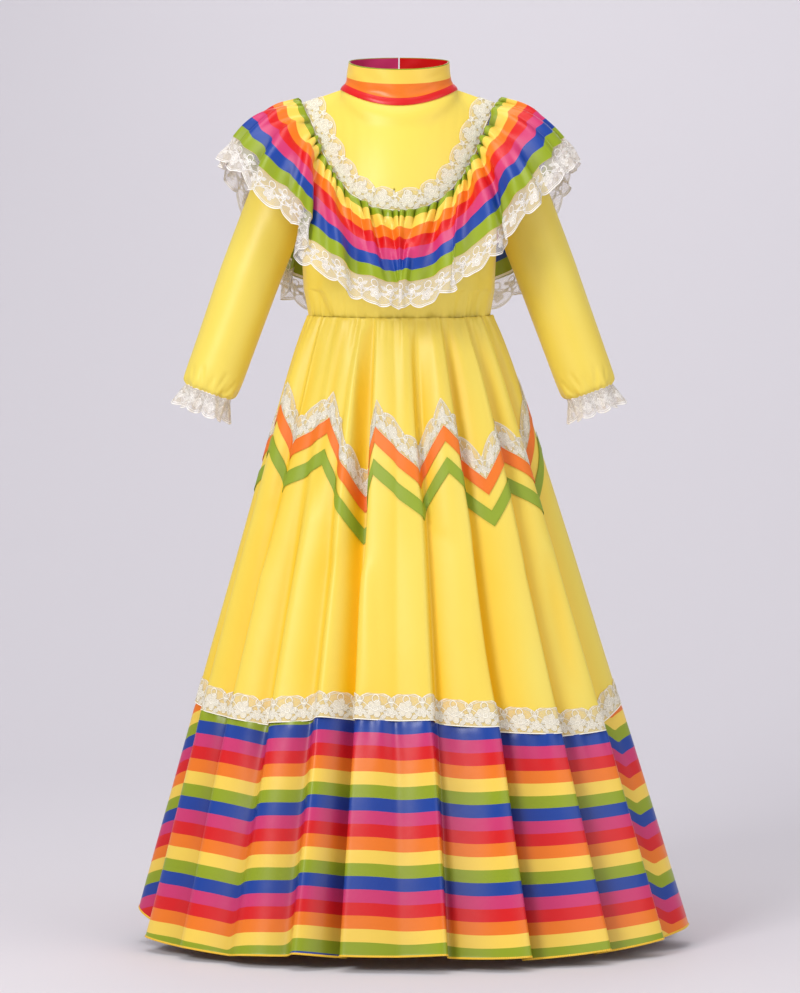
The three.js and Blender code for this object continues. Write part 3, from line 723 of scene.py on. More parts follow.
@dataclass
class Workroom:
    """Sews cloth into pieces on the frame, each with its wall and its finish."""

    materials: dict[str, bpy.types.Material] = field(default_factory=dict)

    def dress(self, piece: bpy.types.Object, finish: Any) -> None:
        """Gives a piece its finish, and lets it ride on the frame."""
        if finish.name not in self.materials:
            self.materials[finish.name] = finish.material()
        piece.data.materials.append(self.materials[finish.name])
        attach(piece, "root")

    def sew(
        self,
        name: str,
        cloth: Cloth,
        nodes: Sequence[str],
        finish: Any,
        slot: Slot,
        held: Held,
        rests_on: Sequence[str],
        wall: float = 0.6,
        seat: float = -1.0,
        flip: bool = False,
    ) -> bpy.types.Object:
        """Makes one piece of cloth.

        Args:
            name: the piece's name.
            cloth: its grid of points.
            nodes: the frame's nodes that it stands for.
            finish: its finish.
            slot: its material slot; not used.
            held: how it is held; not used.
            rests_on: the pieces that hold it; not used.
            wall: its thickness in millimetres.
            seat: which side of the grid the wall is on, -1 inside and 1 outside.
            flip: whether the grid's faces are turned round.

        Returns:
            The new piece.
        """
        piece = bpy.data.objects.new(name, cloth.mesh(name, flip))
        bpy.context.collection.objects.link(piece)
        select_only(piece)
        thickness = piece.modifiers.new("wall", "SOLIDIFY")
        thickness.thickness = wall * MM
        thickness.offset = seat
        bpy.ops.object.modifier_apply(modifier=thickness.name)
        bpy.ops.object.shade_smooth_by_angle(angle=SOFT_EDGE)
        self.dress(piece, finish)
        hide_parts(*nodes)
        width, length, area = cloth.flat()
        log.info("%s: cut %.3f by %.3f m, %.4f m2", name, width, length, area)
        return piece


# Finishes of this dress. A satin's second colour is its deeper dye tone, and in the folds the painted
# shade.
YELLOW_SATIN = Satin("yellow_satin", (0.89, 0.71, 0.11), (0.92, 0.56, 0.004), 0.44, 0.5)
STRIPED = StripedSatin("striped_satin", (1, 1, 1), (0.045, 0.012, 0.02), 0.35, 0.45)
ORANGE_RIBBON = Ribbon("orange_ribbon", (0.90, 0.20, 0.012), (0.86, 0.16, 0.010), shine=0.4)
GREEN_RIBBON = Ribbon("green_ribbon", (0.30, 0.40, 0.022), (0.25, 0.35, 0.018), shine=0.4)
FRILL_MOTIF = LaceMotif(37, 41, 7.0, 7.8, 22, 5.2, 15, 8.5, 4.4, 9, 1.7, 0.3, 0.55, 0.55)
LYING_MOTIF = LaceMotif(33, 38, 7.0, 10.5, 13.5, 6.6, 10, 10.0, 4.2, 25, 1.7, 0.3, 0.65, 0.6, 0.7)
YOKE_MOTIF = LaceMotif(26.6, 36, 6.0, 10.4, 12.5, 5.8, 9, 10.5, 3.2, 20, 1.7, 0.3, 0.65, 0.55, 0.4)
CUFF_MOTIF = LaceMotif(29, 30, 5.0, 7.0, 16, 4.8, 12, 7.0, 3.4, 7, 1.7, 0.3, 0.6, 0.6)
# A lace's second colour is the painted shade of its lower relief.
FRILL_LACE = Lace("frill_lace", FRILL_MOTIF)
LYING_LACE = Lace("lying_lace", LYING_MOTIF, (1.0, 0.95, 0.80), (1.0, 0.90, 0.62))
YOKE_LACE = Lace("yoke_lace", YOKE_MOTIF, (0.99, 0.94, 0.78), (0.98, 0.87, 0.56))
CUFF_LACE = Lace("cuff_lace_finish", CUFF_MOTIF)


# The garment.

BODICE = ["yellow_bodice_front", "yellow_bodice_back_right", "yellow_bodice_back_left"]
SKIRT = ["yellow_skirt_front", "yellow_skirt_back_right", "yellow_skirt_back_left"]


@dataclass(frozen=True)
class Torso:
    """The form that the bodice, the collar and the ruffle share.

    Front and back are patches: t runs from one side seam to the other, -1 to 1, and s runs
    from the neck and shoulder seam, 0, over the underarm level, 1, to the waist, 2.
    """

    neck_half_width: float = 69
    neck_half_depth: float = 55
    neck_middle: float = 2
    neck_front_drop: float = 18
    neck_back_rise: float = 3
    neck_share: float = 0.5
    tip_x: float = 140
    tip_y: float = 8
    tip_z: float = -25
    half_width: Profile = Profile(((1, 117), (1.7, 114), (2, 108)))
    front: Profile = Profile(((1, 97), (1.7, 94), (2, 84)))
    back: Profile = Profile(((1, 88), (1.7, 88), (2, 80)))
    level: Profile = Profile(((1, -166), (1.7, -238), (2, -269)))
    gather_count: float = 26
    gather_depth: float = 0.8
    soft_neck: float = 0.27
    armhole_power: float = 7
    armhole_front: float = 46
    armhole_back: float = 44
    armhole_inward: float = 20
    search_width: float = 150
    search_steps: int = 40
    search_pace: float = 0.6

    def top_seam(self, t: Array, front: Array) -> Array:
        """The neck and shoulder seam at t, on the front or the back."""
        side = np.where(t < 0, -1.0, 1.0)
        share = np.abs(t)
        turn = clamp(share / self.neck_share) * 90 * DEG
        c = np.cos(turn)
        depth = self.neck_half_depth * c
        drop = np.where(front, -self.neck_front_drop, self.neck_back_rise) * c * c
        neck_y = self.neck_middle + np.where(front, -depth, depth)
        out = clamp((share - self.neck_share) / (1 - self.neck_share))
        x = lerp(self.neck_half_width, self.tip_x, out)
        on_neck = share <= self.neck_share
        return vec(
            side * np.where(on_neck, self.neck_half_width * np.sin(turn), x),
            np.where(on_neck, neck_y, lerp(self.neck_middle, self.tip_y, out)),
            np.where(on_neck, drop, self.tip_z * out),
        )

    def section(self, turn: Array, s: Array, front: Array) -> Array:
        """A level section of the torso below the underarm."""
        depth = np.where(front, self.front.at(s), self.back.at(s))
        near = clamp((s - 1.45) / 0.5)
        wave = self.gather_depth * near * sway(turn, self.gather_count, (0.6, 5))
        y = (depth + wave) * np.cos(turn)
        x = (self.half_width.at(s) + wave) * np.sin(turn)
        return vec(x, np.where(front, -y, y), self.level.at(s))

    def point(self, t: Array, s: Array, front: Any) -> Array:
        """The torso's surface at t and s, soft below the corners of the neck."""
        t, s, front = np.broadcast_arrays(np.asarray(t, float), np.asarray(s, float), front)
        reach = self.soft_neck * rise(s, 0, 0.3) * (1 - rise(np.abs(t), 0.68, 0.9))
        near = [self.plain_point(t + reach * k, s, front) for k in (-1, -0.6, -0.2, 0.2, 0.6, 1)]
        return sum(near) / len(near)

    def plain_point(self, t: Array, s: Array, front: Array) -> Array:
        """The torso's surface with the corners that the neck and shoulder seam gives it."""
        turn = t * 90 * DEG
        top = self.top_seam(np.clip(t, -1, 1), front)
        low = self.section(turn, np.ones_like(s), front)
        armhole = np.abs(t) ** self.armhole_power
        forward = np.where(front, -self.armhole_front, self.armhole_back) * armhole
        middle = vec(
            lerp(top[..., 0], low[..., 0], 0.5) - np.sign(t) * self.armhole_inward * armhole,
            lerp(top[..., 1], low[..., 1], 0.85) + forward,
            lerp(top[..., 2], low[..., 2], 0.32),
        )
        u = s[..., None]
        upper = top * (1 - u) ** 2 + middle * 2 * (1 - u) * u + low * u * u
        return np.where(u > 1, self.section(turn, np.clip(s, 1, 2), front), upper)

    def patch_at(self, x: Array, z: Array, front: Array) -> tuple[Array, Array]:
        """The t and s of the torso points that a front view shows at x and z."""
        t = clamp(np.abs(x) / self.search_width)
        s = np.full_like(t, 0.5)
        step = 1e-4
        for _ in range(self.search_steps):
            p = self.point(t, s, front)
            by_t = (self.point(t + step, s, front) - p) / step
            by_s = (self.point(t, s + step, front) - p) / step
            det = by_t[..., 0] * by_s[..., 2] - by_s[..., 0] * by_t[..., 2]
            ex, ez = np.abs(x) - p[..., 0], z - p[..., 2]
            t = np.clip(t + self.search_pace * (ex * by_s[..., 2] - by_s[..., 0] * ez) / det, 0, 0.99)
            s = np.clip(s + self.search_pace * (by_t[..., 0] * ez - ex * by_t[..., 2]) / det, 0, 1.6)
        return np.where(x < 0, -t, t), s

    def normal(self, t: Array, s: Array, front: Array) -> Array:
        """The torso's outward normal at t and s."""
        t = np.clip(t, -0.98, 0.98)
        s = np.maximum(0.01, s)
        along = self.point(t + 0.004, s, front) - self.point(t - 0.004, s, front)
        down = self.point(t, s + 0.004, front) - self.point(t, s - 0.004, front)
        normal = unit(np.cross(down, along))
        away = normal[..., 1] * np.where(front, -1, 1) + 0.4 * normal[..., 2]
        return normal * np.where(away < 0, -1, 1)[..., None]


@dataclass
class Bodice:
    """The front and the two back halves of the bodice, with the yoke in one piece."""

    room: Workroom
    torso: Torso
    columns: int = 150
    rows: int = 60
    creases: tuple[Crease, ...] = crease_rows(
        (-78, 165, -55, 203, 4.5, -2.4), (-66, 150, -48, 200, 5.0, 1.8),
        (-90, 120, -60, 150, 7.0, -1.6), (-30, 172, -26, 203, 3.4, -1.5),
        (26, 176, 22, 203, 3.4, -1.5), (52, 160, 44, 203, 4.2, -2.0), (80, 150, 60, 202, 5.0, -2.2),
        (92, 118, 64, 146, 7.0, -1.7), (94, 92, 74, 104, 6.0, 1.3), (-94, 90, -76, 106, 6.0, 1.3),
    )
    back_creases: tuple[Crease, ...] = crease_rows(
        (-84, 120, -30, 140, 8.0, -1.8), (84, 126, 34, 146, 8.0, -1.8),
        (-60, 160, -50, 203, 4.5, -2.0), (56, 158, 50, 203, 4.5, -2.2),
        (-20, 176, -18, 203, 3.6, -1.5), (30, 172, 26, 203, 3.6, -1.5),
    )

    def relief(self, t: Array, s: Array, front: bool) -> Array:
        """The small gathers and creases, in millimetres out from the torso."""
        angle = t * 90 * DEG
        low = np.exp(-((2 - s) / 0.16))
        gathers = low * (0.7 * sway(angle, 61, (2, 7)) + 0.4 * sway(angle, 97))
        soft = Ripples(11 if front else 12, 7.0, 3.0).at(t, s) * 0.7 * rise(s, 0.5, 1.5)
        creases = self.creases if front else self.back_creases
        seam = -1.1 * bell((1 - np.abs(t)) * 160, 2.2) * (s > 1)
        return gathers + soft + seam + creased(creases, t * 100, s * 100)

    def panel(self, name: str, front: bool, start: float, end: float) -> None:
        """Sews one panel between two values of t."""
        count = round(self.columns * (end - start) / 2)
        t = spaced(start + 0.001, end - 0.001, count)[:, None]
        s = (spaced(0, 1, self.rows) ** 0.92 * 1.996 + 0.002)[None, :]
        cloth = Cloth(self.torso.point(t, s, front)).lifted(self.relief(t, s, front), flip=not front)
        rests = BODICE[1:] if front else BODICE[:1]
        node = name.replace("yellow_", "")
        self.room.sew(name, cloth, [node], YELLOW_SATIN, Slot.YELLOW, Held.HUNG, rests, flip=not front)

    def build(self) -> None:
        """Sews the three panels."""
        for name, front, start, end in zip(BODICE, (True, False, False), (-1, 0, -1), (1, 1, 0)):
            self.panel(name, front, start, end)


@dataclass
class Collar:
    """The stand-up collar of striped satin and its facing inside, open at the centre back."""

    room: Workroom
    torso: Torso
    height: float = 34
    top_half_width: float = 60
    top_half_depth: float = 50
    back_opening: float = 2.4
    foot_flare: float = 1.2
    front_dip: float = 9
    back_dip: float = 4
    lean: float = 3
    red_foot: float = 9
    yellow_top: float = 17.9
    green_edge: float = 1.5
    run_per_degree: float = 0.95
    band_run: float = 38
    creases: tuple[Crease, ...] = crease_rows(
        (-48, 6, -8, 17, 2.6, -0.7), (-30, 20, 14, 12, 3.0, 0.6), (6, 8, 52, 19, 2.8, -0.6),
        (24, 24, 70, 30, 3.0, -0.6), (-80, 14, -50, 28, 3.0, 0.6), (110, 8, 160, 20, 3.0, -0.7),
        (-160, 24, -112, 12, 3.0, -0.7),
    )

    def striped_rows(self, turn: Array) -> tuple[Array, Array]:
        """The rows of the band's grid, with the edges of the stripes among them.

        Args:
            turn: the turns of the columns.

        Returns:
            The stripe at each row, and the share of the height at each column and row.
        """
        fine = spaced(0, 1, 60)
        length = run_along(self.point(turn[:, None], fine[None, :]), 1)
        full = length[:, -1:]
        none = 0 * full
        marks = (none, none + self.red_foot, full - self.yellow_top, full - self.green_edge, full)
        values = (2.4, 3.0, 4.0, 5.0, 5.1)
        steps = (5, 6, 7, 2)
        wanted = [lerp(a, b, spaced(0, 1, n)[None, :-1]) for a, b, n in zip(marks, marks[1:], steps)]
        stripes = [lerp(a, b, spaced(0, 1, n)[:-1]) for a, b, n in zip(values, values[1:], steps)]
        wanted = np.concatenate([*wanted, full], 1)
        share = [np.interp(row, along, fine) for row, along in zip(wanted, length)]
        return np.concatenate([*stripes, [values[-1]]]), np.array(share)

    def point(self, turn: Array, share: Array) -> Array:
        """The collar's surface: turn 0 is the centre front, share 0 the foot and 1 the top."""
        c, s = np.cos(turn * DEG), np.sin(turn * DEG)
        low = lerp(1, 0.25, ease(clamp(share / 0.35)))
        high = lerp(0.25, 0, clamp((share - 0.35) / 0.65))
        spread = np.where(share < 0.35, low, high)
        torso = self.torso
        half_width = lerp(self.top_half_width, torso.neck_half_width + self.foot_flare, spread)
        half_depth = lerp(self.top_half_depth, torso.neck_half_depth + self.foot_flare, spread)
        foot = np.where(c > 0, -torso.neck_front_drop, torso.neck_back_rise) * c * c
        top = self.height - c * np.where(c > 0, self.front_dip, self.back_dip)
        z = lerp(foot + 0.1, top, share)
        return vec(s * half_width, torso.neck_middle - c * half_depth - self.lean * share, z)

    def relief(self, turn: Array, share: Array) -> Array:
        """The soft waves and creases of the band, in millimetres out."""
        wave = 0.5 * np.sin(turn * DEG * 9 + share * 5) * np.sin(share * math.pi)
        return wave + creased(self.creases, turn * self.run_per_degree, share * self.band_run)

    def build(self) -> None:
        """Sews the band and the facing."""
        gap = self.back_opening / 2 / self.top_half_depth / DEG * 0.6
        turn = spaced(-180 + gap, 180 - gap, 170)
        stripes, share = self.striped_rows(turn)
        band = Cloth(self.point(turn[:, None], share))
        foot = 0.5 * bell(band.down - self.red_foot, 1.6)
        band.lifted(self.relief(turn[:, None], share) - foot, flip=True)
        band.marks = {"stripe": stripes[None, :], "hem": np.full_like(band.down, FAR_FROM_HEM)}
        self.room.sew(
            "striped_collar", band, ["collar"], STRIPED, Slot.STRIPED, Held.STRETCHED,
            ["yellow_bodice_front"], wall=0.8, flip=True,
        )
        inside = spaced(0.06, 0.985, 14)[None, :]
        within = self.relief(turn[:, None], inside) - 1.4
        facing = Cloth(self.point(turn[:, None], inside)).lifted(within, flip=True)
        tone = lerp(1.45, 2.45, rise(turn, -1.0, 1.0))[:, None] + 0.0 * facing.down
        facing.marks = {"stripe": tone, "hem": np.full_like(facing.down, FAR_FROM_HEM)}
        self.room.sew(
            "collar_facing", facing, ["collar"], STRIPED, Slot.STRIPED, Held.STRETCHED,
            ["striped_collar"], wall=0.5, flip=True,
        )


@dataclass
class Sleeve:
    """A long sleeve, drawn in by elastic at the wrist, with a lace frill."""

    room: Workroom
    torso: Torso
    side: int
    name: str
    slope: float = 0.36
    top_x: float = 134
    top_z: float = -100
    bottom_z: float = -358
    middle_y: float = 6
    forward: float = 16
    folds: float = 8
    level: Profile = Profile(
        ((0, -214), (1, -214), (2, -214), (3, -222), (4, -276),
         (5, -318), (6, -343), (7, -355), (8, -360)),
        Run.ROUND,
    )
    radius: Profile = Profile(
        ((0, 38), (1, 38), (2, 37), (3, 36.5), (4, 35.5), (5, 35), (6, 34.5), (7, 32.5), (8, 27)),
        Run.ROUND,
    )
    armhole: Profile = Profile(((0, 1), (1, 0.6), (2, 0.24), (3, 0), (8, 0)), Run.STRAIGHT)
    fold: Profile = Profile(((0, 0), (4, 0), (5, 0), (6, 0.4), (7, 1.4), (8, 2)), Run.ROUND)
    creases: tuple[Crease, ...] = crease_rows(
        (30, 120, 78, 132, 7, -0.7), (100, 70, 150, 104, 8, -1.4), (104, 92, 140, 120, 7, 0.8),
        (150, 140, 200, 158, 8, -0.9), (40, 252, 46, 276, 2.6, -1.6), (58, 258, 56, 278, 2.4, -1.5),
        (74, 250, 66, 277, 2.8, -1.7), (24, 256, 31, 277, 2.6, -1.4), (92, 256, 82, 277, 2.6, -1.5),
        (190, 246, 186, 277, 2.8, -1.5), (214, 254, 206, 277, 2.6, -1.5),
    )
    run_per_degree: float = 0.64
    frill_height: float = 29
    frill_repeats: int = 12
    frill_waves: float = 7
    frill_depth: float = 5.5
    ruff_depth: float = 1.7
    frill_radius: float = 34

    def cuff_fold(self, turn: Array, depth: Any) -> Array:
        """The folds that the elastic draws in."""
        return depth * sway(turn * DEG, self.folds, (0.7, 3))

    def armhole_point(self, turn: Array) -> Array:
        """The armhole seam of the +X side."""
        around = np.mod(turn, TURN)
        front = around <= 180
        s = np.where(front, around / 180, (TURN - around) / 180)
        seam = self.torso.point(np.ones_like(s), s, front)
        seam[..., 0] += 0.7
        return seam

    def centre(self, z: Array) -> Array:
        """The middle of the arm at a height."""
        down = (self.top_z - z) / (self.top_z - self.bottom_z)
        return vec(self.top_x + (self.top_z - z) * self.slope, self.middle_y - self.forward * down, z)

    def around(self, centre: Array, turn: Array, radius: Array) -> Array:
        """A point on the ring round the arm: turn 0 is outside and 90 the front."""
        tilt = math.atan(self.slope)
        out = radius * np.cos(turn * DEG)
        return centre + vec(out * math.cos(tilt), -radius * np.sin(turn * DEG), out * math.sin(tilt))

    def point(self, turn: Array, row: Array) -> Array:
        """The sleeve's surface, from the armhole, row 0, to the elastic, row 8."""
        turn, row = np.broadcast_arrays(turn, row)
        radius = self.radius.at(row) + self.cuff_fold(turn, self.fold.at(row))
        ring = self.around(self.centre(self.level.at(row)), turn, radius)
        return lerp(ring, self.armhole_point(turn), self.armhole.at(row)[..., None])

    def frill_point(self, turn: Array, share: Array) -> Array:
        """The lace frill's surface, from the elastic, share 0, to its edge, 1."""
        turn, share = np.broadcast_arrays(turn, share)
        tilt = math.atan(self.slope)
        start = np.full_like(share, self.level.at(8) + 0.4)
        centre = self.centre(start)
        centre[..., 1] = self.middle_y - self.forward
        a = turn * DEG
        wave = self.frill_depth * share * sway(a, self.frill_waves, (0.9, 2))
        ruff = self.ruff_depth * share * sway(a, 19, (1.5, 4))
        end = self.radius.at(8) + self.cuff_fold(turn, self.fold.at(8))
        fall = (self.frill_height * share)[..., None]
        centre = centre + fall * np.array([math.sin(tilt), 0, -math.cos(tilt)])
        return self.around(centre, turn, lerp(end, self.frill_radius, share ** 0.9) + wave + ruff)

    def mirrored(self, points: Array) -> Array:
        """The points on the sleeve's own side."""
        return points * np.array([self.side, 1, 1])

    def build(self) -> None:
        """Sews the sleeve and its frill."""
        turn = spaced(180, 540, 100)[:, None]
        row = np.concatenate([spaced(0, 3, 22)[:-1], spaced(3, 6, 26)[:-1], spaced(6, 8, 28)])[None, :]
        cloth = Cloth(self.mirrored(self.point(turn, row)))
        flip = self.side > 0
        down = self.top_z - self.level.at(row) + 20 * clamp(row - 1)
        lobes = np.abs(sway(turn * DEG, 13, (1.4, 4)))
        shirring = 2.2 * rise(row, 6.3, 7.7) * (lobes - 0.5)
        soft = 0.5 * Ripples(20 + self.side, 2.2, 0.03).at(turn * DEG, down) * rise(row, 2, 4)
        around = np.mod(turn, TURN) * self.run_per_degree
        cloth.lifted(shirring + soft + creased(self.creases, around, down), flip=flip)
        self.room.sew(
            f"yellow_sleeve_{self.name}", cloth, [f"sleeve_{self.name}"], YELLOW_SATIN, Slot.YELLOW,
            Held.HUNG, ["yellow_bodice_front"], flip=flip,
        )
        turns = spaced(0, 360, 190)[:, None]
        share = spaced(0, 1, 14)[None, :]
        frill = Cloth(self.mirrored(self.frill_point(turns, share)))
        length = self.frill_repeats * CUFF_MOTIF.repeat
        frill.across = np.broadcast_to(turns / TURN * length, frill.down.shape)
        frill.down = np.broadcast_to(share * self.frill_height, frill.down.shape)
        nodes = [f"cuff_lace_{self.name}_front", f"cuff_lace_{self.name}_back"]
        self.room.sew(
            f"cuff_frill_{self.name}", frill, nodes, CUFF_LACE, Slot.LACE, Held.GATHERED,
            [f"yellow_sleeve_{self.name}"], wall=0.4, seat=0.0, flip=flip,
        )


@dataclass(frozen=True)
class Fold:
    """A fold of the skirt: a valley and the crest after it, in degrees round the waist.

    deep and out are how far these stand off the plain cone at the hem. lean is how many
    degrees the crest leans over the valley after it, or, if negative, before it. left and
    top are the shares of the fold that there are at the hem and above the ribbons.
    """

    valley: float
    deep: float
    crest: float
    out: float
    lean: float
    left: float = 1.0
    top: float = 1.0


@dataclass(frozen=True)
class SkirtForm:
    """The surface of the skirt and the flounce in their folds.

    u is the turn round the waist in degrees, 0 at the centre front and 90 at +X, and d is
    the distance down the cloth from the waist seam, in millimetres.
    """

    waist_half_width: float = 108
    waist_front: float = 84
    waist_back: float = 80
    waist_z: float = -269
    hem_half_width: float = 311
    hem_front: float = 238
    hem_back: float = 232
    centre_x: float = 10
    length: float = 755
    waist_run: float = 1.9
    hem_run: float = 3.5
    seam_width: float = 2.2
    hip_flare: float = 5
    hip_run: float = 36
    folds_at_waist: float = 0.1
    fold_power: float = 0.66
    gather_count: float = 44
    gather_depth: float = 0.6
    gather_fade: float = 60
    folds: tuple[Fold, ...] = (
        Fold(-95, -14, -86, 10, -3),
        Fold(-78, -16, -71, 16, -3.5, 0.8),
        Fold(-60, -16, -54.5, 15, -3.5, 0.5),
        Fold(-43.5, -15, -38.5, 13, -3, 0.5, 0.2),
        Fold(-28.5, -10, -23, 12, -2),
        Fold(-16.5, -30, -12, 8, -4.4),
        Fold(-2, 3, 6, 15, 3.4),
        Fold(11, -14, 23.5, 18, 4),
        Fold(28.5, -18, 43, 19, 4),
        Fold(48, -16, 62, 20, 4),
        Fold(67, -16, 84, 20, 3),
        Fold(92, -14, 104, 16, 3),
        Fold(110, -18, 121, 15, 4),
        Fold(128, -14, 140, 18, 3),
        Fold(147, -17, 158, 14, 4),
        Fold(165, -12, 175, 16, 3),
        Fold(183, -18, 190, 17, -4),
        Fold(201, -14, 208, 14, -3),
        Fold(219, -17, 226, 18, -4),
        Fold(236, -14, 242, 14, -3),
        Fold(251, -15, 257, 14, -3),
    )
    seam: Profile = Profile(
        ((-95, 482), (-78, 486), (-71, 488), (-43, 490), (-20, 476), (6, 479), (23, 491), (43, 507),
         (62, 514), (84, 492), (104, 488), (140, 500), (180, 482), (226, 498), (265, 482))
    )
    hem: Profile = Profile(
        ((-95, 732), (-78, 752), (-71, 768), (-43, 766), (-20, 756), (6, 755), (23, 764), (43, 769),
         (62, 772), (84, 772), (104, 762), (140, 768), (180, 758), (226, 764), (265, 732))
    )
    bend: float = 0.9
    loose_bend: float = 2.3
    loose_from: tuple[float, float] = (-92, -84)
    loose_to: tuple[float, float] = (-32, -24)
    # Painted shade in the folds: none where a fold stands out this far, full this much further in.
    unshaded_out: float = 16
    shade_span: float = 31
    crease_run: float = 12
    creases: tuple[Crease, ...] = crease_rows(
        (-20, 1, -15, 26, 3.8, -6.9), (-27, 3, -24, 24, 4.1, 4.6), (-4, 2, -3, 40, 6.5, 4.6),
        (8, 1, 8.5, 19, 3.5, -4.0), (20, 2, 17, 22, 4.6, 4.0), (31, 1, 28, 20, 4.1, -4.6),
        (44, 3, 42, 26, 4.6, 3.4), (54, 1, 50, 20, 4.1, -4.6), (71, 2, 68, 24, 4.3, -4.6),
        (-36, 1, -37, 20, 3.8, -3.4), (-52, 2, -56, 26, 4.1, -4.6), (-68, 1, -66, 20, 4.3, 3.4),
        (-12, 24, -9, 38, 2.6, 3.4), (27, 22, 24, 39, 2.9, -3.4), (58, 24, 55, 39, 3.2, -3.4),
        (112, 1, 108, 24, 4.3, -4.6), (132, 1, 130, 22, 4.3, -4.6), (150, 2, 148, 26, 4.6, 4.0),
        (170, 1, 167, 24, 4.3, -4.6), (193, 1, 198, 24, 4.3, -4.6), (214, 2, 216, 22, 4.3, 4.0),
        (232, 1, 235, 24, 4.3, -4.6), (250, 1, 250, 20, 4.3, -3.4),
    )
    zigzag: Profile = Profile(
        ((-98, 190), (-69, 112), (-57, 158), (-35, 121), (-16.5, 212), (-10.5, 131), (8, 186),
         (19, 131), (36, 197), (47, 147), (66, 200), (84, 112), (103, 196), (121, 126), (139, 196),
         (157, 126), (175, 196), (191, 126), (206, 196), (221, 126), (235, 196), (249, 130),
         (262, 190)),
        Run.STRAIGHT,
    )

    def in_turn(self, u: Array, first: float | None = None) -> Array:
        """A turn brought into the one that starts at the first fold, or at `first`."""
        start = self.folds[0].valley if first is None else first
        return np.mod(u - start, TURN) + start

    def seam_at(self, u: Array) -> Array:
        """How far down the flounce's seam lies."""
        return self.seam.at(self.in_turn(u))

    def hem_at(self, u: Array) -> Array:
        """How far down the hem lies."""
        return self.hem.at(self.in_turn(u))

    def zigzag_at(self, u: Array) -> Array:
        """How far down the upper edge of the orange ribbon lies."""
        return self.zigzag.at(self.in_turn(u, self.zigzag.rows[0][0]))

    def strength(self, u: Array, share: Array) -> Array:
        """The share of the folds that there is at a turn and a share of the length."""
        crests = np.array([fold.crest for fold in self.folds])
        left = np.interp(self.in_turn(u), crests, [fold.left for fold in self.folds])
        top = np.interp(self.in_turn(u), crests, [fold.top for fold in self.folds])
        return lerp(top, 1, rise(share, 0.15, 0.45)) * lerp(1, left, rise(share, 0.6, 0.98))

    def fold_at(self, u: Array) -> tuple[Array, Array]:
        """How far the folds push the cloth out, and how many degrees sideways, at the hem."""
        turn = self.in_turn(u)
        rows = [(f.valley, f.deep, f.crest, f.out, f.lean) for f in self.folds]
        valley, deep, crest, out, lean = np.array(rows, float).T
        i = np.clip(np.searchsorted(valley, turn, side="right") - 1, 0, len(valley) - 1)
        after = (i + 1) % len(valley)
        end = np.where(after == 0, valley[0] + TURN, valley[after])
        under_first = -np.maximum(lean[i - 1], 0) / 2 - np.minimum(lean[i], 0) / 2
        under_last = -np.maximum(lean[i], 0) / 2 - np.minimum(lean[after], 0) / 2
        rising = turn < crest[i]
        width = np.where(rising, crest[i] - valley[i], end - crest[i])
        share = np.where(rising, turn - valley[i], end - turn) / width
        round_top = clamp((width - 5) / 4)
        height = lerp(ease(share), np.sin(share * 90 * DEG), round_top)
        low = np.where(rising, deep[i], deep[after])
        side = lerp(np.where(rising, under_first, under_last), lean[i] / 2, ease(share))
        return lerp(low, out[i], height), side

    def soft_fold_at(self, u: Array) -> tuple[Array, Array]:
        """The folds with their bends rounded, the most where the cloth hangs loose."""
        turn = self.in_turn(u)
        loose = rise(turn, *self.loose_from) * (1 - rise(turn, *self.loose_to))
        reach = lerp(self.bend, self.loose_bend, loose)
        near = [self.fold_at(turn + reach * k) for k in (-1, -0.5, 0.0, 0.5, 1)]
        return sum(out for out, _ in near) / len(near), sum(side for _, side in near) / len(near)

    def fold_shade_at(self, u: Array, d: Array) -> Array:
        """How much painted shade the cloth gets in its folds, 0 on a crest and 1 deep in a valley."""
        share = clamp(d / self.length)
        out, _ = self.soft_fold_at(u)
        low = clamp((self.unshaded_out - out) / self.shade_span) * self.strength(u, share)
        placed = clamp(-creased(self.creases, self.in_turn(u), d / self.crease_run) / 5)
        return np.maximum(low * rise(share, 0.0, 0.25), placed * 0.8)

    def point(self, u: Array, d: Array) -> Array:
        """The surface in its folds, without small gathers."""
        u, d = np.broadcast_arrays(np.asarray(u, float), np.asarray(d, float))
        share = d / self.length
        out, side = self.soft_fold_at(u)
        opened = lerp(self.folds_at_waist, 1, clamp(share) ** self.fold_power)
        opened = opened * self.strength(u, share)
        turn = (u + side * opened) * DEG
        front = np.cos(turn) > 0
        waist_depth = np.where(front, self.waist_front, self.waist_back)
        hem_depth = np.where(front, self.hem_front, self.hem_back)
        hip = self.hip_flare * (1 - np.exp(-d / self.hip_run))
        fade = np.exp(-d / self.gather_fade)
        gather = self.gather_depth * fade * np.sin(u * DEG * self.gather_count)
        offset = out * opened + gather + hip
        x = lerp(self.waist_half_width, self.hem_half_width, share) + offset
        y = lerp(waist_depth, hem_depth, share) + offset
        px, py = x * np.sin(turn) + self.centre_x * share, -y * np.cos(turn)
        sx, sy = self.waist_half_width * np.sin(turn), -waist_depth * np.cos(turn)
        run = np.hypot(px - sx, py - sy)
        return vec(px, py, self.waist_z - np.sqrt(np.maximum(0, d * d - run * run)))

    def relief(self, u: Array, d: Array) -> Array:
        """The soft folds, small gathers, ripples and seams, in millimetres out."""
        a = u * DEG
        placed = creased(self.creases, self.in_turn(u), d / self.crease_run)
        pleat = np.abs(sway(a, 37, (2.2, 5), (0.8, 13)))
        gathers = 1.1 * np.exp(-d / 24) * (pleat - 0.5)
        gathers = gathers + 0.4 * np.exp(-d / 60) * sway(a, 33, (1.8, 4, 1))
        gathers = gathers + 1.0 * np.exp(-d / 230) * sway(a, 15, (1.7, 3))
        share = clamp(d / self.length)
        soft = 1.5 * share * Ripples(5, 9.0, 0.006).at(a, d)
        fine = 0.35 * Ripples(6, 30.0, 0.02).at(a, d) * rise(d, 30, 160)
        run = (self.waist_run + self.hem_run * share) / self.seam_width
        seams = sum(bell((self.in_turn(u, at - 180) - at) * run) for at in (90, 180, 270))
        return (gathers + soft + fine + placed) * rise(d, -1, 3) - 1.0 * seams

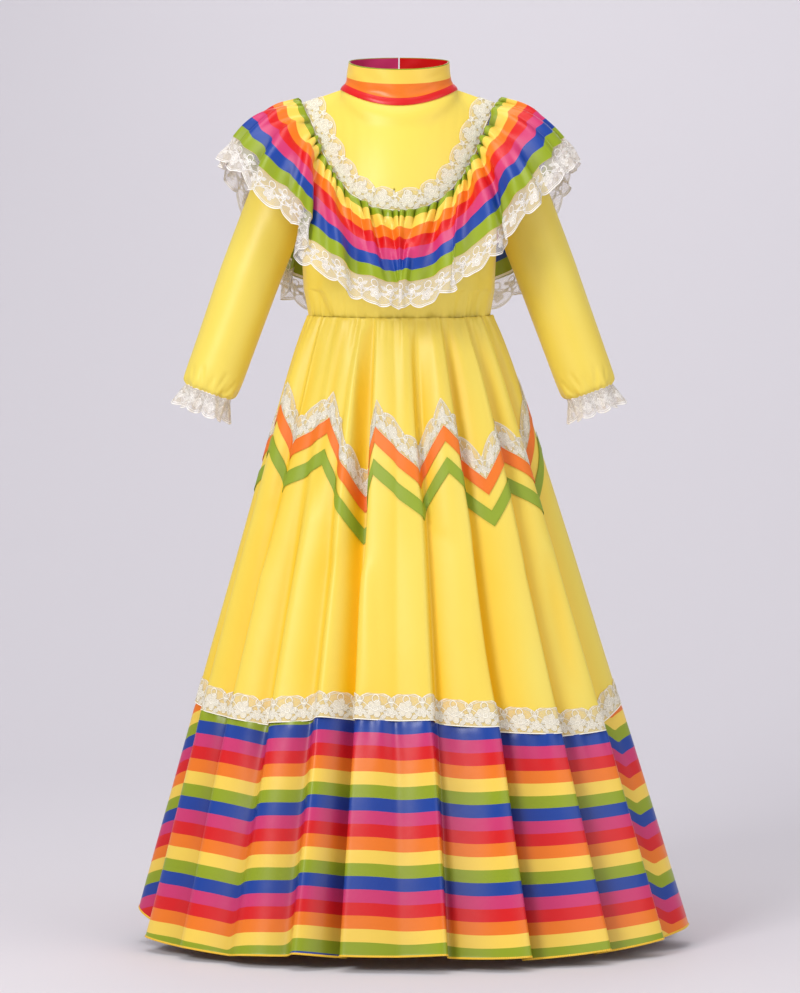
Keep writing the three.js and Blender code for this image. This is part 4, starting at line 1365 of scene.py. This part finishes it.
    def columns(self, start: float, end: float) -> Array:
        """The turns of the grid's columns from start to end, the ribbons' corners among them."""
        turns = list(spaced(start, end, round((end - start) * 1.72)))
        for corner, _ in self.zigzag.rows:
            placed = corner + TURN if corner < start else corner
            if start < placed < end:
                nearest = min(range(len(turns)), key=lambda i: abs(turns[i] - placed))
                if 0 < nearest < len(turns) - 1:
                    turns[nearest] = placed
        return np.array(turns)

    def cloth(self, turns: Array, rows: Array, lift: float) -> Cloth:
        """The cloth over these turns, at each one's distances down, with its relief and lift."""
        u = turns[:, None]
        made = Cloth(self.point(u, rows))
        made.down = rows
        # The "fold" mark is the share of painted shade in the folds.
        made.marks = {"fold": self.fold_shade_at(u, rows)}
        return made.lifted(self.relief(u, rows) + lift)


@dataclass
class Skirt:
    """The yellow skirt, with the striped flounce below it."""

    room: Workroom
    form: SkirtForm
    rows: int = 82
    flounce_rows: int = 62
    stripe: Profile = Profile(((-60, 15.3), (0, 15.35), (20, 15.3), (43, 14.7), (62, 14.6), (84, 15.4)))
    left_above: Profile = Profile(
        ((0, 0), (26, 0), (29, 4), (40, 4), (44, 9), (56, 7), (61, 10), (70, 12), (77, 24), (90, 56))
    )
    right_above: Profile = Profile(((0, 0), (66, 0), (71, 14), (76, 34), (83, 38), (90, 56)))
    back_above: Profile = Profile(((90, 56), (98, 40), (106, 22), (120, 10), (140, 3), (180, 0)))

    def panel(self, name: str, start: float, end: float) -> None:
        """Sews one panel of the skirt."""
        turns = self.form.columns(start, end)
        share = spaced(0, 1, self.rows) ** 1.25
        rows = 0.05 + share[None, :] * (self.form.seam_at(turns)[:, None] - 0.25)
        cloth = self.form.cloth(turns, rows, 0.0)
        self.room.sew(f"yellow_{name}", cloth, [name], YELLOW_SATIN, Slot.YELLOW, Held.GATHERED, BODICE)

    def flounce(self, name: str, start: float, end: float) -> None:
        """Sews one piece of the flounce, with straight stripes and a rolled hem."""
        turns = self.form.columns(start, end)
        seam, hem = self.form.seam_at(turns)[:, None], self.form.hem_at(turns)[:, None]
        share = np.concatenate([spaced(0, 0.985, self.flounce_rows - 5)[:-1], spaced(0.985, 1, 5)])
        rows = lerp(seam + 0.1, hem, share[None, :])
        roll = 0.9 * bell(hem - rows - 1.1, 0.9)
        tuck = -0.9 * np.exp(-((rows - seam) / 2.0))
        angle = turns[:, None] * DEG
        below = rows - seam
        puckers = 1.5 * np.exp(-below / 26) * sway(angle, 61, (3, 6, 1))
        puckers = puckers + 1.5 * np.exp(-below / 110) * sway(angle, 31, (2, 5))
        puckers = puckers + 1.2 * Ripples(41, 26.0, 0.012).at(angle, rows)
        cloth = self.form.cloth(turns, rows, 0.0).lifted(roll + tuck + puckers)
        from_middle = np.mod(turns[:, None] + 180, TURN) - 180
        away = np.abs(from_middle)
        in_front = np.where(from_middle < 0, self.left_above.at(away), self.right_above.at(away))
        hidden = np.where(away > 90, self.back_above.at(away), in_front)
        uneven = 0.07 * Ripples(42, 20.0, 0.004).at(angle, rows)
        stripe = (rows - seam - hidden) / self.stripe.at(from_middle) + uneven
        cloth.marks |= {"stripe": stripe, "hem": hem - rows}
        self.room.sew(f"striped_{name}", cloth, [name], STRIPED, Slot.STRIPED, Held.GATHERED, SKIRT)

    def build(self) -> None:
        """Sews the panels and the flounce."""
        self.panel("skirt_front", -90, 90)
        self.panel("skirt_back_right", 90, 180)
        self.panel("skirt_back_left", 180, 270)
        self.flounce("flounce_front", -90, 90)
        self.flounce("flounce_back", 90, 270)


@dataclass
class SkirtTrims:
    """The zigzag of lace and two ribbons, and the lace band above the flounce."""

    room: Workroom
    form: SkirtForm
    ribbon: float = 19
    zigzag_lace: float = 33
    hem_lace: float = 31
    lift: float = 1.0

    def band(self, upper: Array, lower: Array, turns: Array, count: int) -> Cloth:
        """A band on the skirt between two lines, with its places measured on its lower line."""
        share = spaced(0, 1, count)[None, :]
        rows = lerp(upper[:, None], lower[:, None], share)
        cloth = self.form.cloth(turns, rows, self.lift)
        cloth.across = np.broadcast_to(run_along(cloth.points, 0)[:, -1:], rows.shape)
        return cloth

    def build(self) -> None:
        """Sews on the two ribbons and the two laces."""
        turns = self.form.columns(-90, 270)
        top = self.form.zigzag_at(turns)
        seam = self.form.seam_at(turns)
        width, tall, low = self.ribbon, self.zigzag_lace, self.hem_lace
        for name, finish, slot, upper, lower, height in (
            ("ribbon_orange", ORANGE_RIBBON, Slot.ORANGE, top, top + width, width),
            ("ribbon_green", GREEN_RIBBON, Slot.GREEN, top + 2 * width, top + 3 * width, width),
            ("zigzag_lace", LYING_LACE, Slot.LACE, top - tall, top + 1.0, tall),
            ("hem_lace", LYING_LACE, Slot.LACE, seam - low, seam + 0.6, low),
        ):
            is_lace = slot is Slot.LACE
            count = 10 if is_lace else 5
            cloth = self.band(upper, lower, turns, count)
            places = spaced(height, 0, count) if is_lace else spaced(0, height, count)
            cloth.down = np.broadcast_to(places[None, :], cloth.across.shape)
            piece = f"floral_{name}" if is_lace else f"zigzag_{name}"
            wall = 0.3 if is_lace else 0.4
            self.room.sew(piece, cloth, [name], finish, slot, Held.LAID, SKIRT, wall=wall, seat=0.0)


@dataclass(frozen=True)
class SeamLine:
    """The seam of the shoulder ruffle on the torso.

    w is the turn round it in degrees: 0 at the centre front, 90 over the +X shoulder and 180
    at the centre back. The profiles give its outline from the front and from the back.
    """

    torso: Torso
    over_shoulder: tuple[float, float] = (-0.94, 0.34)
    front_x: Profile = Profile(
        ((0, 0), (16, 32), (30, 57), (43, 76), (56, 91), (70, 102), (82, 112), (90, 117)), Run.STRAIGHT
    )
    front_z: Profile = Profile(
        ((0, -143), (16, -138), (30, -123), (43, -101), (56, -74), (70, -45), (82, -25), (90, -17)),
        Run.STRAIGHT,
    )
    back_x: Profile = Profile(
        ((0, 0), (18, 40), (35, 73), (50, 92), (64, 103), (78, 111), (90, 117)), Run.STRAIGHT
    )
    back_z: Profile = Profile(
        ((0, -158), (18, -154), (35, -140), (50, -114), (64, -82), (78, -42), (90, -17)), Run.STRAIGHT
    )

    def part(self, w: Array) -> tuple[Array, Array, Array]:
        """The side, whether it is the front, and the turn from the centre line."""
        turn = np.mod(w + 180, TURN) - 180
        front = np.abs(turn) <= 90
        return np.where(turn < 0, -1.0, 1.0), front, np.where(front, np.abs(turn), 180 - np.abs(turn))

    def outline(self, turn: Array, front: Array) -> tuple[Array, Array]:
        """The seam's x and z at a turn from the centre line."""
        x = np.where(front, self.front_x.at(turn), self.back_x.at(turn))
        return x, np.where(front, self.front_z.at(turn), self.back_z.at(turn))

    def place(self, w: Array, inside: float = 0.0) -> tuple[Array, Array]:
        """A line parallel to the seam.

        Args:
            w: the turns.
            inside: how much nearer to the neck the line lies, in millimetres.

        Returns:
            Its points and the torso's normals there.
        """
        side, front, turn = self.part(w)
        x, z = self.outline(turn, front)
        step = 4.0
        ax, az = self.outline(np.minimum(90, turn + step), front)
        bx, bz = self.outline(np.maximum(0, turn - step), front)
        bx, bz = np.where(turn < step, -ax, bx), np.where(turn < step, az, bz)
        past = turn > 90 - step
        ax, az = np.where(past, 2 * x - bx, ax), np.where(past, 2 * z - bz, az)
        length = np.hypot(ax - bx, az - bz)
        level = ease(clamp((turn - 60) / 30))
        to_x = lerp(-(az - bz) / length, self.over_shoulder[0], level)
        to_z = lerp((ax - bx) / length, self.over_shoulder[1], level)
        t, s = self.torso.patch_at(x + to_x * inside, z + to_z * inside, front)
        over = turn > 89.9
        span = self.torso.tip_x - self.torso.neck_half_width
        along = (self.torso.tip_x - x - inside * self.over_shoulder[0]) / span
        over_t = lerp(1, self.torso.neck_share, along)
        t = side * np.abs(np.where(over, over_t, t))
        s = lerp(np.where(over, 0.0, s), 0.0, ease(clamp((turn - 84) / 6)))
        return self.torso.point(t, s, front), self.torso.normal(t, s, front)


@dataclass(frozen=True)
class Lap:
    """A place where a gathered cloth folds over itself.

    The cloth on the far side of `at`, as seen from the centre front, lies over the near one.
    over is how far, in millimetres along x, its edge is drawn over, width the degrees that
    the fold takes, under how far the near cloth is drawn back, reach and stand how many
    degrees and millimetres the upper cloth is moved and lifted.
    """

    at: float
    over: float
    stand: float
    under: float
    width: float
    reach: float
    lift: float

    def shift(self, w: Array) -> tuple[Array, Array]:
        """How far the free cloth moves along x and out, at turns w."""
        far = np.sign(self.at) * np.where(np.abs(self.at) > 90, -1, 1)
        beyond = (w - self.at) * far
        upper = bell(np.maximum(beyond - 1, 0), self.reach) * rise(beyond, -self.width, 0.6)
        lower = bell(beyond + self.width + 1, self.width * 0.8)
        return self.over * upper + self.under * lower, self.lift * upper - self.stand * 0.4 * lower


@dataclass
class Ruffle:
    """The gathered shoulder ruffle of striped satin with its lace edging, and the yoke lace."""

    room: Workroom
    seam: SeamLine
    edge_half_width: float = 195
    edge_front: float = 146
    edge_back: float = 136
    edge_top: float = -58
    front_fall: float = 165
    front_power: float = 2.3
    back_fall: float = 196
    back_drop: Profile = Profile(
        ((0, 0), (0.2, 0.10), (0.385, 0.27), (0.5, 0.45), (0.675, 0.74), (0.85, 0.91), (1, 1)),
        Run.ROUND,
    )
    fan_front: float = 1.8
    fan_back: float = 1.15
    lift: float = 3.5
    crown: float = 15
    crown_in_front: float = -4
    crown_over_shoulder: float = 8
    belly: float = 10
    lace: float = 35
    lace_start: float = 0.97
    lace_end: float = 1.98
    wave_count: float = 24
    gathers: float = 29
    wave_seam: float = 1.2
    wave_edge: float = 7
    calm_middle: float = 0.4
    calm_shoulder: float = 0.3
    column_power: float = 0.85
    laps: tuple[Lap, ...] = (
        Lap(-57, 27, 13, -9, 3.4, 15, 12),
        Lap(40, -6, 4, 3, 3.4, 9, 8),
        Lap(60, -9, 4, 4, 3.8, 10, 5),
        Lap(-76, 5, 4, -4, 4.0, 9, 4),
        Lap(140, 12, 8, -7, 4.0, 12, 7),
        Lap(225, -14, 8, 8, 4.0, 12, 8),
    )
    cloth_width: float = 103.6
    first_stripe: float = 12
    stripe: float = 15.3
    yoke_lace: float = 27
    yoke_start: float = 0.4
    yoke_lift: float = 1.1

    def edge_turn(self, w: Array) -> Array:
        """The edge's turn for a turn of the seam: the cloth fans out."""
        side, front, turn = self.seam.part(w)
        spread = 90 * (turn / 90) ** np.where(front, self.fan_front, self.fan_back)
        return side * np.where(front, spread, 180 - spread)

    def wave(self, w: Array) -> Array:
        """How far a wave of the ruffle stands out, from -1 to 1."""
        turn = self.edge_turn(w) * DEG
        return sway(turn, self.wave_count, (1.2, 5), (0.7, 9, 1))

    def edge(self, w: Array) -> Array:
        """The free edge of the striped cloth, before its waves."""
        spread = self.edge_turn(w) * DEG
        c, s = np.abs(np.cos(spread)), np.sin(spread)
        _, front, _ = self.seam.part(w)
        y = np.where(front, -self.edge_front, self.edge_back) * c
        falls = self.front_fall * c**self.front_power, self.back_fall * self.back_drop.at(c)
        fall = np.where(front, *falls)
        return vec(self.edge_half_width * s, y, self.edge_top - fall)

    def grid(self, w: Array, share: Array) -> Array:
        """The ruffle's surface: share 0 is the seam, 1 the striped edge, and past 1 the lace."""
        over = (np.abs(np.sin(w * DEG)) ** 6)[:, None]
        place, normal = self.seam.place(w)
        seam = place + normal * self.lift
        edge = self.edge(w)
        out = edge - seam
        out[..., 2] = 0
        out = unit(out)
        middle = lerp(seam, edge, 0.42) + out * self.belly
        high = rise(np.abs(np.sin(w * DEG)), 0.4, 0.95)
        crown = np.where(np.cos(w * DEG) > 0, lerp(self.crown_in_front, self.crown, high), self.crown)
        middle[..., 2] += crown + self.crown_over_shoulder * over[:, 0]
        cloth = np.minimum(share, 1)[..., None]
        seam_, middle_, edge_ = seam[:, None], middle[:, None], edge[:, None]
        points = seam_ * (1 - cloth) ** 2 + middle_ * 2 * (1 - cloth) * cloth + edge_ * cloth**2
        fall = unit(edge - middle) * lerp(0.7, 1.0, over)
        fall[..., 2] -= lerp(0.6, 0.02, over[:, 0])
        past_edge = np.maximum(share - 1, 0)[..., None] * self.lace
        points = points + unit(fall)[:, None] * past_edge
        free = clamp(share) ** 1.3
        facing = out.copy()
        facing[..., 2] = 0.45
        facing = unit(facing)[:, None]
        calm = lerp(self.calm_middle, 1, rise(np.abs(w), 14, 40))
        near_shoulder = bell(np.abs(np.mod(w + 180, TURN) - 180) - 97, 18)
        calm = (calm * (1 - (1 - self.calm_shoulder) * near_shoulder))[:, None]
        wave = self.wave(w)[:, None] * lerp(self.wave_seam, self.wave_edge * calm, free)
        moves = [lap.shift(w) for lap in self.laps]
        side, lift = (sum(move[i] for move in moves)[:, None] * free for i in (0, 1))
        points = points + facing * (wave + lift)[..., None]
        points[..., 0] += side
        return points

    def lobes(self, w: Array) -> Array:
        """The puffs between the gathers of the seam, 0 in a gather and 1 on a puff."""
        return np.abs(sway(w * DEG, self.gathers, (1.3, 7), (0.7, 17)))

    def relief(self, w: Array, share: Array) -> Array:
        """The tight gathers at the seam and the finer waves of the edge, in millimetres."""
        w = w[:, None]
        turn = self.edge_turn(w) * DEG
        lobes = self.lobes(w)
        near = np.exp(-((share / 0.17) ** 1.6)) * rise(share, -0.02, 0.05)
        mid = sway(w * DEG, self.gathers, (1.6, 6, 2)) * bell(share - 0.3, 0.24)
        far = sway(turn, 47, (1.5, 8)) * rise(share, 0.45, 1.0)
        frill = sway(turn, 71, (1.4, 11)) * rise(share, 1.0, 1.6)
        soft = 2.2 * Ripples(31, 34.0, 6.0).at(w * DEG, share) * rise(share, 0.1, 0.5)
        return 12.0 * near * (lobes**0.5 - 0.4) + 4.2 * mid + 2.3 * far + 1.2 * frill + soft

    def depth(self, w: Array, share: Array) -> Array:
        """How much painted shade the cloth gets down between the gathers and the waves, 0 on their
        tops.
        """
        near = np.exp(-((share / 0.2) ** 1.6))
        trough = clamp(-self.wave(w))[:, None] ** 2 * rise(share, 0.3, 1.0)
        return clamp(near * (1 - self.lobes(w[:, None])) ** 1.5 * 1.3 + 0.5 * trough)

    def columns(self, start: float, end: float, count: int) -> Array:
        """The turns of a panel's columns, as even on the seam as on the edge."""
        turns = spaced(start, end, count)
        if start > 0:
            return turns
        return 90 * np.sign(turns) * np.abs(turns / 90) ** self.column_power

    def panel(self, name: str, start: float, end: float, columns: int, rows: int) -> None:
        """Sews one piece of the ruffle and of its lace."""
        inset = 0.04
        w = self.columns(start + inset, end - inset, columns)
        share = np.broadcast_to(spaced(0, 1, rows) ** 1.1, (columns + 1, rows + 1))
        cloth = Cloth(self.grid(w, share)).lifted(self.relief(w, share))
        out = share * self.cloth_width
        right = rise(w, 6, 16) * (1 - rise(w, 82, 88))
        sliver = 0.75 * right[:, None] * np.exp(-out / 1.6)
        stripe = 5 - (out - self.first_stripe) / self.stripe + sliver
        hem = np.full_like(out, FAR_FROM_HEM)
        # The "fold" mark is the share of painted shade between the gathers and the waves.
        cloth.marks = {"stripe": stripe, "hem": hem, "fold": self.depth(w, share)}
        self.room.sew(
            f"striped_ruffle_{name}", cloth, [f"ruffle_{name}"], STRIPED, Slot.STRIPED, Held.GATHERED,
            BODICE, seat=0.0,
        )
        lace_rows = lerp(self.lace_start, self.lace_end, spaced(0, 1, 13))
        share = np.broadcast_to(lace_rows, (columns + 1, 14))
        lace = Cloth(self.grid(w, share)).lifted(self.relief(w, share) - 0.5)
        lace.across = np.broadcast_to(run_along(lace.points, 0)[:, :1] * 1.05, share.shape)
        lace.down = (share - self.lace_start) * (FRILL_MOTIF.height / (self.lace_end - self.lace_start))
        self.room.sew(
            f"floral_ruffle_lace_{name}", lace, [f"ruffle_lace_{name}"], FRILL_LACE, Slot.LACE,
            Held.GATHERED, [f"striped_ruffle_{name}"], wall=0.4, seat=0.0,
        )

    def build_yoke_lace(self) -> None:
        """Sews the flat lace band inside the ruffle's seam."""
        w = spaced(-179.2, 179.2, 420)
        inside = spaced(self.yoke_start, self.yoke_lace, 9)
        placed = [self.seam.place(w, row) for row in inside]
        points = np.stack([point + normal * self.yoke_lift for point, normal in placed], 1)
        lace = Cloth(points)
        lace.across = np.broadcast_to(run_along(points, 0)[:, :1], points.shape[:2])
        lace.down = np.broadcast_to(inside[None, :] - self.yoke_start, points.shape[:2])
        self.room.sew(
            "floral_yoke_lace", lace, ["yoke_lace"], YOKE_LACE, Slot.LACE, Held.LAID, BODICE,
            wall=0.3, seat=0.0, flip=True,
        )

    def build(self) -> None:
        """Sews the ruffle's three pieces, their lace and the yoke lace."""
        self.panel("front", -90, 90, 520, 36)
        self.panel("back_right", 90, 180, 230, 32)
        self.panel("back_left", 180, 270, 230, 32)
        self.build_yoke_lace()


@dataclass
class Softbox:
    """A studio light with a large soft face."""

    name: str
    place: tuple[float, float, float]
    size: float
    power: float
    colour: Colour = (1.0, 1.0, 1.0)

    def build(self, aim: tuple[float, float, float]) -> None:
        """Hangs the light and turns it to a point."""
        data = bpy.data.lights.new(self.name, "AREA")
        data.shape = "SQUARE"
        data.size = self.size
        data.energy = self.power
        data.color = self.colour
        lamp = bpy.data.objects.new(self.name, data)
        bpy.context.collection.objects.link(lamp)
        turn_to(lamp, self.place, aim)
        lamp.visible_camera = False


def turn_to(item: bpy.types.Object, place: Sequence[float], aim: Sequence[float]) -> None:
    """Puts a light or camera at a place and turns it to a point."""
    item.location = place
    direction = [b - a for a, b in zip(place, aim)]
    flat = math.hypot(direction[0], direction[1])
    item.rotation_euler = (
        math.atan2(flat, -direction[2]),
        0.0,
        math.atan2(-direction[0], direction[1]),
    )


def edge_y(mesh: bpy.types.Mesh, edge: bpy.types.MeshEdge) -> float:
    """The lesser y of an edge's two ends."""
    return min(mesh.vertices[i].co.y for i in edge.vertices)


@dataclass
class Studio:
    """The pale paper sweep, the soft lights and the camera."""

    floor_z: float = -1.025
    paper: Colour = (0.75, 0.725, 0.765)
    paper_width: float = 16
    paper_depth: float = 10.2
    wall_y: float = 4.2
    wall_height: float = 6
    sweep_radius: float = 2.6
    air: Colour = (0.83, 0.81, 0.86)
    air_light: float = 0.52
    air_seen: float = 0.8
    camera_aim: tuple[float, float, float] = (0.0012, 0.0, -0.487)
    camera_far: float = 7.0
    camera_rise: float = 4.5
    lens: float = 262.5
    lights_aim: tuple[float, float, float] = (0, 0, -0.5)
    lights: tuple[Softbox, ...] = (
        Softbox("key_left", (-2.2, -3.5, 1.5), 1.3, 98),
        Softbox("fill_right", (4.0, -3.0, 0.3), 5.0, 79),
        Softbox("top", (-0.3, -0.5, 2.6), 1.8, 34),
        Softbox("back", (0.4, 3.4, 1.4), 2.0, 18),
    )

    @staticmethod
    def pick_edges(paper: bpy.types.Object, y: float, z: float | None = None) -> None:
        """Goes into edit mode with the edges at that y, and that z if given, selected."""
        mesh = paper.data
        for part in (mesh.vertices, mesh.edges, mesh.polygons):
            for item in part:
                item.select = False
        for edge in mesh.edges:
            heights = [mesh.vertices[i].co.z for i in edge.vertices]
            level = z is None or max(abs(height - z) for height in heights) < 1e-4
            edge.select = level and abs(edge_y(mesh, edge) - y) < 1e-4
            for i in edge.vertices:
                if edge.select:
                    mesh.vertices[i].select = True
        bpy.ops.object.mode_set(mode="EDIT")
        bpy.ops.mesh.select_mode(type="EDGE")

    def sweep(self) -> None:
        """Lays the paper: a floor that curves up into a wall behind."""
        bpy.ops.object.select_all(action="DESELECT")
        bpy.ops.mesh.primitive_plane_add(size=1, location=(0, 0, 0))
        paper = bpy.context.active_object
        paper.name = "paper_sweep"
        paper.scale = (self.paper_width, self.paper_depth, 1)
        paper.location = (0, self.wall_y - self.paper_depth / 2, self.floor_z)
        bpy.ops.object.transform_apply(location=True, rotation=True, scale=True)
        back = max(edge_y(paper.data, edge) for edge in paper.data.edges)
        self.pick_edges(paper, back)
        bpy.ops.mesh.extrude_region_move(TRANSFORM_OT_translate={"value": (0, 0, self.wall_height)})
        bpy.ops.object.mode_set(mode="OBJECT")
        self.pick_edges(paper, back, self.floor_z)
        bpy.ops.mesh.bevel(offset=self.sweep_radius, segments=32, affect="EDGES")
        bpy.ops.object.mode_set(mode="OBJECT")
        bpy.ops.object.shade_smooth()
        board = Board("paper")
        tone = board.mix(board.noise(1.5, 3.0) * 0.3, self.paper, tuple(c * 0.97 for c in self.paper))
        front = 1.0 - board.seen_from_behind()
        inputs = {"Base Color": tone, "Roughness": 0.9, "Alpha": front}
        paper.data.materials.append(board.finish(inputs))

    def surroundings(self) -> bpy.types.World:
        """The soft light from all round, which looks paler to the camera than it shines."""
        world = bpy.data.worlds.new("studio")
        world.use_nodes = True
        nodes, links = world.node_tree.nodes, world.node_tree.links
        shade = nodes["Background"]
        shade.inputs["Color"].default_value = (*self.air, 1)
        seen = nodes.new("ShaderNodeLightPath")
        strength = nodes.new("ShaderNodeMapRange")
        strength.inputs["To Min"].default_value = self.air_light
        strength.inputs["To Max"].default_value = self.air_seen
        links.new(seen.outputs["Is Camera Ray"], strength.inputs["Value"])
        links.new(strength.outputs["Result"], shade.inputs["Strength"])
        return world

    def build(self) -> None:
        """Sets up the paper, the lights, the surroundings and the camera."""
        self.sweep()
        for light in self.lights:
            light.build(self.lights_aim)
        scene = bpy.context.scene
        scene.world = self.surroundings()
        scene.view_settings.view_transform = "Standard"
        data = bpy.data.cameras.new("camera")
        data.sensor_fit = "HORIZONTAL"
        data.sensor_width = 36
        data.lens = self.lens
        data.clip_end = 100
        camera = bpy.data.objects.new("camera", data)
        bpy.context.collection.objects.link(camera)
        rise_angle = self.camera_rise * DEG
        x, y, z = self.camera_aim
        away, up = self.camera_far * math.cos(rise_angle), self.camera_far * math.sin(rise_angle)
        place = (x, y - away, z + up)
        turn_to(camera, place, self.camera_aim)
        scene.camera = camera


def main() -> None:
    """Builds the whole dress on the frame, and the studio round it."""
    logging.basicConfig(level=logging.INFO, format="%(name)s: %(message)s")
    room = Workroom()
    torso = Torso()
    form = SkirtForm()
    Studio().build()
    Bodice(room, torso).build()
    Collar(room, torso).build()
    for side, name in ((1, "right"), (-1, "left")):
        Sleeve(room, torso, side, name).build()
    Ruffle(room, SeamLine(torso)).build()
    Skirt(room, form).build()
    SkirtTrims(room, form).build()


if __name__ == "__main__":
    main()
